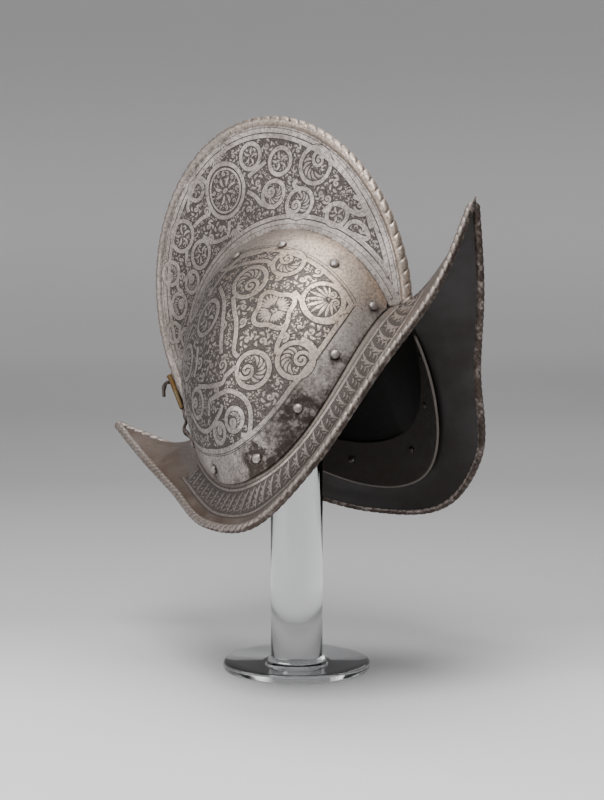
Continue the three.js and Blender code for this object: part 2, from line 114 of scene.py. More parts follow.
def colour(name, description, default):
    return FloatVectorProperty(name=name, description=description, default=default, size=3,
                               min=0, max=1, subtype="COLOR")


def angle(name, description, degrees):
    return FloatProperty(name=name, description=description, default=math.radians(degrees),
                         subtype="ANGLE", unit="ROTATION")


class MorionSizes(bpy.types.PropertyGroup):
    """Lengths of the helmet and its stand."""

    front_length: length("Bowl front", "From the middle of the throat to its front", 0.093)
    rear_length: length("Bowl rear", "From the middle of the throat to its rear", 0.097)
    half_width: length("Bowl half width", "From the middle of the throat to its side", 0.0905)
    root_rise: length("Root rise", "Rise of the comb's root over its two feet", 0.095)
    throat_dip: length("Throat dip", "How far the throat dips at the sides", 0.003)
    front_rise: length("Throat front rise", "Rise of the throat at the front", 0.081)
    rear_rise: length("Throat rear rise", "Rise of the throat at the rear", 0.075)
    plate_wall: length("Plate wall", "Thickness of the bowl's plates and the brim", 0.0013)
    comb_wall: length("Comb wall", "Thickness of the comb", 0.0012)
    gap: length("Gap", "Space left between pieces", 0.0003)
    foot_half: length("Comb foot", "Half the comb's width at its feet", 0.007)
    root_half: length("Comb root", "Half the comb's width at the middle of its root", 0.0155)
    edge_half: length("Comb edge", "Half the comb's width under its rope", 0.0024)
    crest_length: length("Crest half length", "Half the length of the crest", 0.115)
    crest_height: length("Crest half height", "Height of the crest over its middle", 0.1337)
    crest_centre: length("Crest middle", "Rise of the crest's middle over the comb's feet", 0.051)
    crest_forward: length("Crest forward", "How far forward the crest stands", 0.001)
    flange_width: length("Flange width", "Width of the comb's flange under the plates", 0.03)
    comb_rope: length("Comb rope radius", "Radius of the rope on the crest", 0.004)
    comb_pitch: length("Comb rope pitch", "From notch to notch of the rope on the crest", 0.0086)
    brim_length: length("Brim half length", "From the middle to a peak", 0.185)
    brim_width: length("Brim half width", "From the middle to the side of the brim", 0.1096)
    brim_drop: length("Brim drop", "How far the brim drops at the sides", 0.0355)
    front_peak: length("Front peak", "Rise of the front peak", 0.119)
    rear_peak: length("Rear peak", "Rise of the rear peak", 0.110)
    front_dip: length("Front dip", "How far the brim sinks in front before it rises", 0.012)
    rear_dip: length("Rear dip", "How far the brim sinks behind before it rises", 0.020)
    side_dip: length("Side dip", "How steeply the brim leaves the bowl at the side", 0.016)
    brim_rope: length("Brim rope radius", "Radius of the rope on the brim's edge", 0.003)
    brim_pitch: length("Brim rope pitch", "From notch to notch of the rope on the brim", 0.0064)
    band_wall: length("Band thickness", "Thickness of the leather band", 0.0018)
    band_height: length("Band height", "Height of the leather band", 0.024)
    band_lip: length("Band lip", "How far the leather shows under the throat", 0.0015)
    rivet_radius: length("Rivet head radius", "Radius of a rivet's head", 0.0035)
    rivet_height: length("Rivet head height", "Height of a rivet's head", 0.0021)
    rod_radius: length("Rod radius", "Radius of the clear rod", 0.0185)
    disc_radius: length("Disc radius", "Radius of the clear disc", 0.0525)
    disc_edge: length("Disc edge", "Height of the disc at its edge", 0.006)
    disc_crown: length("Disc crown", "Height of the disc under the rod", 0.009)


class MorionFinish(bpy.types.PropertyGroup):
    """Colours and seat of the helmet."""

    steel: colour("Steel", "Worn steel", (0.56, 0.505, 0.475))
    # The patina colour is also the colour of the painted shade on the bowl's lower band and under the brim
    # ropes.
    patina: colour("Patina", "Dark patina in hollows and round rivets", (0.045, 0.036, 0.032))
    ground: colour("Etched ground", "Blackened ground between the ornament", (0.07, 0.058, 0.052))
    rust: colour("Rust", "Brown rust on the brim", (0.12, 0.085, 0.068))
    brass: colour("Brass", "Brass of the plume holder", (0.17, 0.125, 0.07))
    leather: colour("Leather", "Leather of the lining band", (0.014, 0.009, 0.007))
    forward: length("Forward", "How far forward the helmet sits on its stand", 0.0345)
    height: length("Height", "Height of the throat over the floor", 0.148)
    pitch: angle("Pitch", "How far the nose points up", 27.7)
    lean: angle("Lean", "How far the helmet leans to its side", 4.8)
    seed: IntProperty(name="Seed", description="Lays out the small leaves", default=7, min=0)


class Helmet:
    """Surfaces in the helmet's own frame: x to the front, y to its left, z up from the throat's side."""

    def __init__(self, sizes, finish):
        for name in sizes.__annotations__:
            setattr(self, name, getattr(sizes, name))
        self.corner = math.asin((self.foot_half / self.half_width) ** (PLAN_POWER / 2))
        self.front_corner = self.throat(self.corner, 1)
        self.rear_corner = self.throat(math.pi - self.corner, 1)
        self.under_plate = self.plate_wall + self.gap
        self.crest_start = -math.asin(self.crest_centre / self.crest_height)
        turn = Euler((0, -finish.pitch, 0)).to_matrix() @ Euler((-finish.lean, 0, 0)).to_matrix()
        self.turn = np.array(turn)
        self.seat = np.array((finish.forward, 0, finish.height))
        self.draw_brim_edge()
        self.rivets = []
        for row, places, reach, width in (
                ("throat", THROAT_RIVETS, self.down_from_throat, self.band_height),
                ("root", ROOT_RIVETS, self.down_from_root, self.flange_width)):
            for side, sign in SIDES:
                for i, (share, part) in enumerate(places):
                    place = share, reach(share, part * width), sign
                    name = f"{row}_rivet_{side}_{i + 1}"
                    self.rivets.append((self.bowl(*place), self.bowl_normal(*place), name))

    def world(self, points):
        return points @ self.turn.T + self.seat

    def throat(self, angle, sign):
        forward = np.cos(angle)
        half = np.where(forward > 0, self.front_length, self.rear_length)
        rise = np.where(forward > 0, self.front_rise, self.rear_rise)
        return points_of(half * raised(forward, 2 / PLAN_POWER),
                         sign * self.half_width * np.abs(np.sin(angle)) ** (2 / PLAN_POWER),
                         (self.throat_dip + rise) * np.abs(forward) ** THROAT_POWER - self.throat_dip)

    def low_and_high(self, share, sign):
        """The throat and the comb's root at a share of the way from front to rear."""
        return self.throat(mix(self.corner, math.pi - self.corner, share), sign), self.root(share, sign)

    def root(self, share, sign):
        angle = np.asarray(share) * math.pi
        to_rear = (1 - np.cos(angle)) / 2
        half = mix(self.foot_half, self.root_half, np.maximum(np.sin(angle), 0))
        reach = mix(self.front_corner[0], -self.rear_corner[0], to_rear)
        foot = mix(self.front_corner[2], self.rear_corner[2], to_rear)
        return points_of(np.cos(angle) * reach, sign * half, foot + self.root_rise * np.sin(angle))

    def bowl(self, share, down, sign):
        low, high = self.low_and_high(share, sign)
        out = raised(np.sin(down * math.pi / 2), ROOT_EASE)
        up = raised(np.cos(down * math.pi / 2), BOWL_BULGE)
        return points_of(mix(high[..., 0], low[..., 0], out), mix(high[..., 1], low[..., 1], out),
                         mix(low[..., 2], high[..., 2], up))

    def bowl_normal(self, share, down, sign):
        step = 1e-3
        along = self.bowl(share + step, down, sign) - self.bowl(share - step, down, sign)
        across = self.bowl(share, down + step, sign) - self.bowl(share, down - step, sign)
        return unit(np.cross(across, along) * np.asarray(sign)[..., None])

    def under_bowl(self, share, down, sign, depth):
        return self.bowl(share, down, sign) - depth * self.bowl_normal(share, down, sign)

    def down_from_root(self, share, distance, most=0.97):
        low, high = self.low_and_high(share, 1)
        reach = np.hypot(low[..., 0] - high[..., 0], low[..., 1] - high[..., 1])
        return np.arcsin(raised(np.clip(distance / reach, 0, most), 1 / ROOT_EASE)) * 2 / math.pi

    def down_from_throat(self, share, height, most=0.97):
        low, high = self.low_and_high(share, 1)
        part = np.minimum(height / (high[..., 2] - low[..., 2]), most)
        return np.arccos(raised(part, 1 / BOWL_BULGE)) * 2 / math.pi

    def crest(self, share, inset):
        angle = mix(self.crest_start, math.pi - self.crest_start, np.asarray(share))
        return points_of(self.crest_forward + (self.crest_length - inset) * np.cos(angle), 0,
                         mix(self.front_corner[2], self.rear_corner[2], share) + self.crest_centre
                         + (self.crest_height - inset) * np.sin(angle))

    def comb(self, share, step, sign):
        low = self.root(share, sign)
        high = self.crest(share, self.comb_rope)
        plate = self.under_bowl(np.clip(share, *PLATE_ENDS), 0, sign, self.plate_wall)
        foot = np.minimum(np.abs(low[..., 1]), np.abs(plate[..., 1])) - self.gap
        half = self.edge_half + (foot - self.edge_half) * (1 - np.clip(step, 0, 1)) ** COMB_HOLLOW
        return points_of(mix(low[..., 0], high[..., 0], step), sign * half,
                         mix(low[..., 2], high[..., 2], step))

    def comb_height(self, share):
        return np.linalg.norm(self.root(share, 0) - self.crest(share, self.comb_rope), axis=-1)

    def draw_brim_edge(self):
        """A curve through the edge's points, kept as shares of its length."""
        half = np.array((self.brim_length - self.brim_rope, self.brim_width - self.brim_rope))
        knots = np.array([(along * half[0], out * half[1],
                           rise * (self.brim_drop + (self.front_peak if along > 0 else self.rear_peak))
                           - self.brim_drop) for along, out, rise in BRIM_EDGE])
        knots = np.vstack([2 * knots[0] - knots[1], knots, 2 * knots[-1] - knots[-2]])
        spans = np.sqrt(np.linalg.norm(np.diff(knots, axis=0), axis=1))
        drawn = []
        for place in np.linspace(0, len(BRIM_EDGE) - 1, 201):
            k = min(int(place), len(BRIM_EDGE) - 2)
            part = place - k
            a, b, c, d = knots[k:k + 4]
            before, here, after = spans[k:k + 3]
            leave = ((b - a) / before - (c - a) / (before + here) + (c - b) / here) * here
            arrive = ((c - b) / here - (d - b) / (here + after) + (d - c) / after) * here
            drawn.append(b + leave * part + (3 * (c - b) - 2 * leave - arrive) * part ** 2
                         + (2 * (b - c) + leave + arrive) * part ** 3)
        self.edge_points = np.array(drawn)
        run = run_of(self.edge_points)
        self.edge_run = run / run[-1]

    def brim_edge(self, turn, sign):
        x, y, z = (np.interp(turn, self.edge_run, self.edge_points[:, k]) for k in range(3))
        return points_of(x, y * sign, z)

    def brim(self, turn, out, sign):
        turn, out = np.broadcast_arrays(np.asarray(turn, float), np.asarray(out, float))
        angle = turn * math.pi
        share = (angle - self.corner) / (math.pi - 2 * self.corner)
        seat = self.under_bowl(np.clip(share, *PLATE_ENDS), 1.0, sign, self.under_plate)
        narrow = np.minimum(np.sin(angle) / math.sin(self.corner), 1)
        outside = points_of(seat[..., 0], seat[..., 1] * narrow, self.throat(angle, sign)[..., 2])
        under = (share > PLATE_ENDS[0]) & (share < PLATE_ENDS[1])
        start = np.where(under[..., None], seat, outside)
        start[..., 2] -= self.gap
        end = self.brim_edge(turn, sign)
        sideways = np.sin(angle) ** 2
        dip = mix(np.where(angle < math.pi / 2, self.front_dip, self.rear_dip), self.side_dip, sideways)
        bend = start + (end - start) * mix(0.35, 0.12, sideways)[..., None]
        bend[..., 2] = start[..., 2] - dip
        out = out[..., None]
        return start * (1 - out) ** 2 + 2 * bend * out * (1 - out) + end * out ** 2

    def brim_neck(self, turn, part, sign):
        """The brim's neck, up from the throat inside the plates, and a short tongue under the comb's feet."""
        share = (turn * math.pi - self.corner) / (math.pi - 2 * self.corner)
        inside = np.clip(share, *PLATE_ENDS)
        down = mix(1, self.down_from_throat(inside, self.band_height), part)
        wall = self.under_bowl(inside, down, sign, self.under_plate)
        foot = self.brim(turn, 0, sign)
        pull = 1 - TONGUE * part / np.hypot(foot[..., 0], foot[..., 1])
        foot = foot * np.stack([pull, pull, np.ones_like(pull)], -1)
        blend = smooth(0.03, 0.075, np.minimum(share, 1 - share))[..., None]
        return mix(foot, wall, blend)


def helmet():
    scene = bpy.context.scene
    return Helmet(scene.morion_sizes, scene.morion_finish)


# ---------- Meshes

def grid_mesh(columns, rows, breaks=()):
    """A flat grid from 0 to 1 both ways, without the faces that leave the columns in breaks."""
    bm = bmesh.new()
    bmesh.ops.create_grid(bm, x_segments=columns - 1, y_segments=rows - 1, size=0.5)
    if len(breaks):
        cut = set(breaks)
        between = [face for face in bm.faces
                   if int((face.calc_center_median().x + 0.5) * (columns - 1)) in cut]
        bmesh.ops.delete(bm, geom=between, context="FACES")
    mesh = bpy.data.meshes.new("grid")
    bm.to_mesh(mesh)
    bm.free()
    return mesh


def read_points(mesh):
    flat = np.empty(3 * len(mesh.vertices), np.float32)
    mesh.vertices.foreach_get("co", flat)
    return flat.reshape(-1, 3).astype(float)


def flat_places(mesh):
    """Places of a grid's points, from 0 to 1 both ways."""
    return read_points(mesh)[:, :2] + 0.5


def lap_of(places):
    """Share of the way and side on a lap from the front along the left and back along the right."""
    lap = 2 * places
    return np.where(lap <= 1, lap, 2 - lap), np.where(lap <= 1, 1.0, -1.0)


def put(mesh, points, outside):
    """Places a grid's points and turns its faces to the outside."""
    mesh.vertices.foreach_set("co", points.astype(np.float32).ravel())
    mesh.update()
    normals = np.empty(3 * len(mesh.polygons), np.float32)
    mesh.polygons.foreach_get("normal", normals)
    corners = np.array([poly.vertices[0] for poly in mesh.polygons])
    if np.sum(normals.reshape(-1, 3) * outside[corners]) < 0:
        mesh.flip_normals()


def spread(mesh, **attributes):
    """Adds attributes to a mesh, each one number for all its points or one for each."""
    for name, values in attributes.items():
        attribute = mesh.attributes.new(name, "FLOAT", "POINT")
        values = np.broadcast_to(values, len(mesh.vertices)).astype(np.float32)
        attribute.data.foreach_set("value", np.ascontiguousarray(values))


def weld(mesh, distance=1e-5):
    bm = bmesh.new()
    bm.from_mesh(mesh)
    bmesh.ops.remove_doubles(bm, verts=bm.verts, dist=distance)
    bm.to_mesh(mesh)
    bm.free()


def add_object(name, data):
    """Adds an object to the scene."""
    obj = bpy.data.objects.new(name, data)
    bpy.context.scene.collection.objects.link(obj)
    return obj


def piece(name, mesh, material, replaced=(), wall=None, bevel=None, inside=None):
    """Adds a mesh as a piece, with a wall and rounded edges where they are given."""
    mesh.name = name
    mesh.shade_smooth()
    mesh.materials.append(material)
    if inside:
        mesh.materials.append(inside)
    obj = add_object(name, mesh)
    if wall:
        solid = obj.modifiers.new("wall", "SOLIDIFY")
        solid.thickness = wall
        solid.offset = -1
        solid.material_offset = 1 if inside else 0
    if bevel:
        edge = obj.modifiers.new("edge", "BEVEL")
        edge.width = bevel
        edge.segments = 2
        edge.limit_method = "ANGLE"
        edge.angle_limit = math.radians(50)
    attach(obj, "root")
    if replaced:
        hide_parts(*replaced)
    return obj


def near_rivets(form, points, radius):
    """How close each point is to a rivet, from 0 to 1. The throat's third and fourth reach farthest."""
    close = np.zeros(len(points))
    for centre, _, name in form.rivets:
        size = radius * (1.3 if name.startswith("throat") and name[-1] in "34" else 0.8)
        close = np.maximum(close, np.exp(-(np.linalg.norm(points - centre, axis=1) / size) ** 2))
    return close


def turned(profile, segments, name="turned"):
    """A body turned about z from a profile of (radius, height)."""
    bm = bmesh.new()
    ring = [bm.verts.new((radius, 0, height)) for radius, height in profile]
    edges = [bm.edges.new(pair) for pair in zip(ring, ring[1:])]
    bmesh.ops.spin(bm, geom=ring + edges, cent=(0, 0, 0), axis=(0, 0, 1), angle=2 * math.pi, steps=segments,
                   use_merge=True, use_duplicate=False)
    bmesh.ops.remove_doubles(bm, verts=bm.verts, dist=1e-6)
    bmesh.ops.recalc_face_normals(bm, faces=bm.faces)
    mesh = bpy.data.meshes.new(name)
    bm.to_mesh(mesh)
    bm.free()
    return mesh


def tube(centres, radii, sides, across, shape=None):
    """A tube along points. shape(row, around, outward) scales its radius. Also gives each point's place."""
    count = len(centres)
    mesh = grid_mesh(count, sides + 1)
    place = flat_places(mesh)
    row = np.rint(place[:, 0] * (count - 1)).astype(int)
    around = place[:, 1]
    tangent = unit(np.gradient(centres, axis=0))
    first = unit(np.cross(across, tangent))
    second = np.cross(tangent, first)
    angle = (np.rint(around * sides) % sides) / sides * 2 * math.pi
    outward = first[row] * np.cos(angle)[:, None] + second[row] * np.sin(angle)[:, None]
    reach = np.asarray(radii)[row]
    if shape is not None:
        reach = reach * shape(row, around, outward)
    put(mesh, centres[row] + outward * reach[:, None], outward)
    return mesh, row, around, outward


# ---------- Materials

def node_group(name, inputs, outputs):
    group = bpy.data.node_groups.new(name, "ShaderNodeTree")
    for kind, label, default in inputs:
        socket = group.interface.new_socket(label, in_out="INPUT", socket_type=kind)
        socket.default_value = default
    for kind, label in outputs:
        group.interface.new_socket(label, in_out="OUTPUT", socket_type=kind)
    return group, group.nodes.new("NodeGroupInput"), group.nodes.new("NodeGroupOutput")


class Wiring:
    """Short ways to add and join shader nodes in one tree."""

    def __init__(self, tree):
        self.tree = tree

    def add(self, kind, settings=None, **sockets):
        node = self.tree.nodes.new(kind)
        for name, value in (settings or {}).items():
            setattr(node, name, value)
        for name, value in sockets.items():
            self.set(node, name.replace("_", " "), value)
        return node

    def set(self, node, name, value):
        """Links or sets an input, given by its name or its number."""
        if isinstance(value, bpy.types.NodeSocket):
            self.tree.links.new(value, node.inputs[name])
        else:
            node.inputs[name].default_value = value

    def noise(self, vector, scale, detail=4.0, roughness=0.55, distortion=0.0):
        node = self.add("ShaderNodeTexNoise", Vector=vector, Scale=scale, Detail=detail,
                        Roughness=roughness, Distortion=distortion)
        return node.outputs["Fac"]

    def ramp(self, value, low, high, start=0.0, end=1.0):
        node = self.add("ShaderNodeMapRange", {"interpolation_type": "SMOOTHSTEP"})
        for index, item in enumerate((value, low, high, start, end)):
            self.set(node, index, item)
        return node.outputs["Result"]

    def math(self, operation, first, second=0.0):
        node = self.add("ShaderNodeMath", {"operation": operation})
        self.set(node, 0, first)
        self.set(node, 1, second)
        return node.outputs["Value"]

    def blend(self, part, first, second):
        node = self.add("ShaderNodeMix", {"data_type": "RGBA"})
        self.set(node, 0, part)
        self.set(node, 6, first)
        self.set(node, 7, second)
        return node.outputs[2]

    def attribute(self, name):
        return self.add("ShaderNodeAttribute", {"attribute_name": name}).outputs["Fac"]

    def dents(self, shader, height, strength, distance):
        bump = self.add("ShaderNodeBump", Strength=strength, Distance=distance, Height=height)
        self.set(shader, "Normal", bump.outputs["Normal"])


def plain(rgb):
    return (*rgb, 1.0)


def worn_steel_group():
    """Colour, roughness and height of old steel: soft cloudiness, pits, scratches, patina and rust. Its Stain
    input darkens towards the patina colour, for patina and stains and also for painted shade.
    """
    name = "worn steel"
    if name in bpy.data.node_groups:
        return bpy.data.node_groups[name]
    group, take, give = node_group(name, (
        ("NodeSocketVector", "Vector", (0, 0, 0)),
        ("NodeSocketColor", "Steel", (0.5, 0.47, 0.44, 1)),
        ("NodeSocketColor", "Patina", (0.05, 0.04, 0.035, 1)),
        ("NodeSocketColor", "Rust", (0.16, 0.085, 0.045, 1)),
        ("NodeSocketFloat", "Stain", 0.0),
        ("NodeSocketFloat", "Rusting", 0.0),
        ("NodeSocketFloat", "Warmth", 0.0),
    ), (("NodeSocketColor", "Color"), ("NodeSocketFloat", "Roughness"), ("NodeSocketFloat", "Height")))
    w = Wiring(group)
    vector = take.outputs["Vector"]
    cloud = w.noise(vector, 42.0, 8.0, 0.62)
    grain = w.noise(vector, 520.0, 5.0, 0.65)
    pits = w.noise(vector, 300.0, 6.0, 0.7, 0.4)
    blotch = w.noise(vector, 17.0, 6.0, 0.65, 0.6)
    dull = w.blend(0.6, take.outputs["Steel"], (0.17, 0.15, 0.14, 1))
    steel = w.blend(w.ramp(cloud, 0.35, 0.66), dull, take.outputs["Steel"])
    steel = w.blend(w.ramp(blotch, 0.5, 0.68, 0.0, 0.45), steel, (0.27, 0.215, 0.185, 1))
    warmth = w.math("MULTIPLY", take.outputs["Warmth"], w.ramp(cloud, 0.25, 0.7, 0.5, 1.0))
    warm = w.blend(warmth, steel, (0.56, 0.44, 0.34, 1))
    dusted = w.blend(w.ramp(grain, 0.42, 0.62, 0.0, 0.62), warm, (0.17, 0.148, 0.135, 1))
    pitted = w.blend(w.ramp(pits, 0.585, 0.665, 0.0, 0.8), dusted, take.outputs["Patina"])
    patchy = w.ramp(w.noise(vector, 130.0, 7.0, 0.7), 0.32, 0.68, 0.45, 1.5)
    # Stain darkens towards the patina colour: real patina and stains, and painted shade on the bowl's lower
    # band and under the brim ropes.
    stain = w.ramp(w.math("MULTIPLY", take.outputs["Stain"], patchy), 0.12, 1.1)
    stained = w.blend(stain, pitted, take.outputs["Patina"])
    rusting = w.math("MULTIPLY", take.outputs["Rusting"], w.ramp(cloud, 0.3, 0.65, 0.45, 1.0))
    w.set(give, "Color", w.blend(rusting, stained, take.outputs["Rust"]))
    rough = w.math("ADD", w.ramp(cloud, 0.3, 0.75, 0.5, 0.36), w.ramp(grain, 0.4, 0.7, -0.03, 0.08))
    w.set(give, "Roughness", w.math("ADD", rough, w.math("MULTIPLY", take.outputs["Rusting"], 0.2)))
    w.set(give, "Height", w.math("SUBTRACT", w.math("MULTIPLY", grain, 0.35), w.ramp(pits, 0.6, 0.72)))
    return group


def new_material(name):
    """A material with its Wiring and Principled shader, and the Object coordinates."""
    material = bpy.data.materials.new(name)
    material.use_nodes = True
    w = Wiring(material.node_tree)
    shader = material.node_tree.nodes["Principled BSDF"]
    return material, w, shader, w.add("ShaderNodeTexCoord").outputs["Object"]


def steel_material(name, finish, ground=False, bright=1.0, bump=0.12):
    """Worn steel, with blackened ground where the attribute etched says so if ground is set."""
    if name in bpy.data.materials:
        return bpy.data.materials[name]
    material, w, shader, vector = new_material(name)
    group = w.add("ShaderNodeGroup", {"node_tree": worn_steel_group()})
    w.set(group, "Vector", vector)
    w.set(group, "Steel", plain([bright * part for part in finish.steel]))
    w.set(group, "Patina", plain(finish.patina))
    w.set(group, "Rust", plain(finish.rust))
    for label in ("Stain", "Rusting", "Warmth"):
        w.set(group, label, w.attribute(label.lower()))
    tone, rough = group.outputs["Color"], group.outputs["Roughness"]
    if ground:
        stipple = w.noise(vector, 1100.0, 3.0, 0.7)
        base = w.blend(w.ramp(stipple, 0.42, 0.62), plain(finish.ground), (0.15, 0.133, 0.124, 1))
        inside = w.ramp(w.attribute("etched"), 0.45, 0.55)
        tone = w.blend(inside, tone, base)
        rough = w.math("ADD", rough, w.math("MULTIPLY", inside, 0.12))
    w.set(shader, "Base Color", tone)
    w.set(shader, "Roughness", rough)
    w.set(shader, "Metallic", 0.9)
    w.set(shader, "Specular IOR Level", 0.5)
    w.dents(shader, group.outputs["Height"], bump, 0.0006)
    return material


def inner_material(name, shade):
    """Blackened, dull steel under the brim and inside the plates and the comb, made darker still as painted
    shade: darkest inside the bowl and comb, where little light enters.
    """
    if name in bpy.data.materials:
        return bpy.data.materials[name]
    material, w, shader, vector = new_material(name)
    cloud = w.noise(vector, 28.0, 6.0, 0.6)
    grain = w.noise(vector, 420.0, 4.0)
    base = w.blend(w.ramp(cloud, 0.35, 0.7), (shade, 0.92 * shade, 0.9 * shade, 1),
                   (0.7 * shade, 0.55 * shade, 0.48 * shade, 1))
    specks = w.ramp(grain, 0.6, 0.75, 0.0, 0.4)
    w.set(shader, "Base Color", w.blend(specks, base, (0.06, 0.04, 0.03, 1)))
    w.set(shader, "Roughness", w.ramp(cloud, 0.3, 0.7, 0.42, 0.58))
    w.set(shader, "Metallic", 0.55)
    w.dents(shader, grain, 0.15, 0.0005)
    return material


def engraved_material(finish):
    """Dark line cut into the steel."""
    name = "engraved line"
    if name in bpy.data.materials:
        return bpy.data.materials[name]
    material, w, shader, vector = new_material(name)
    wear = w.ramp(w.noise(vector, 350.0, 4.0), 0.5, 0.8)
    w.set(shader, "Base Color", w.blend(wear, plain(finish.patina), (0.11, 0.095, 0.085, 1)))
    w.set(shader, "Metallic", 0.6)
    w.set(shader, "Roughness", 0.6)
    return material


def brass_material(finish):
    material, w, shader, vector = new_material("aged brass")
    cloud = w.noise(vector, 160.0, 6.0, 0.6)
    grain = w.noise(vector, 900.0, 3.0)
    tarnish = w.ramp(cloud, 0.4, 0.7)
    w.set(shader, "Base Color", w.blend(tarnish, plain(finish.brass), (0.16, 0.09, 0.03, 1)))
    w.set(shader, "Roughness", w.ramp(cloud, 0.3, 0.7, 0.34, 0.55))
    w.set(shader, "Metallic", 0.92)
    w.dents(shader, grain, 0.15, 0.0003)
    return material


def leather_material(finish):
    material, w, shader, vector = new_material("old leather")
    creases = w.add("ShaderNodeTexVoronoi", {"feature": "DISTANCE_TO_EDGE"}, Vector=vector,
                    Scale=620.0).outputs["Distance"]
    cloud = w.noise(vector, 130.0, 6.0)
    # The band's lower cut edge is painted lighter: partly the paler leather of a cut edge, partly a painted
    # highlight where the edge catches the light.
    edge = w.ramp(w.attribute("cut_edge"), 0.4, 0.8)
    worn = w.blend(w.ramp(cloud, 0.35, 0.7), plain(finish.leather), (0.02, 0.014, 0.01, 1))
    w.set(shader, "Base Color", w.blend(edge, worn, (0.13, 0.11, 0.095, 1)))
    w.set(shader, "Roughness", w.ramp(cloud, 0.3, 0.7, 0.6, 0.85))
    w.dents(shader, w.math("ADD", creases, w.math("MULTIPLY", cloud, 0.6)), 0.4, 0.0005)
    return material


def clear_material():
    """Clear acrylic. Its shadow and the light that others get through it pass straight on."""
    material, w, shader, vector = new_material("clear acrylic")
    for name, value in (("Base Color", (0.96, 0.975, 0.975, 1)), ("Metallic", 0.0),
                        ("Transmission Weight", 1.0), ("IOR", 1.49)):
        w.set(shader, name, value)
    w.set(shader, "Roughness", w.ramp(w.noise(vector, 60.0, 3.0), 0.4, 0.8, 0.01, 0.05))
    path = w.add("ShaderNodeLightPath").outputs
    seen = w.math("MAXIMUM", path["Is Shadow Ray"], path["Is Diffuse Ray"])
    light = w.add("ShaderNodeBsdfTransparent", Color=(0.93, 0.94, 0.94, 1))
    both = w.add("ShaderNodeMixShader")
    for index, socket in enumerate((seen, shader.outputs["BSDF"], light.outputs["BSDF"])):
        w.set(both, index, socket)
    w.set(material.node_tree.nodes["Material Output"], "Surface", both.outputs["Shader"])
    return material


# ---------- Ornament

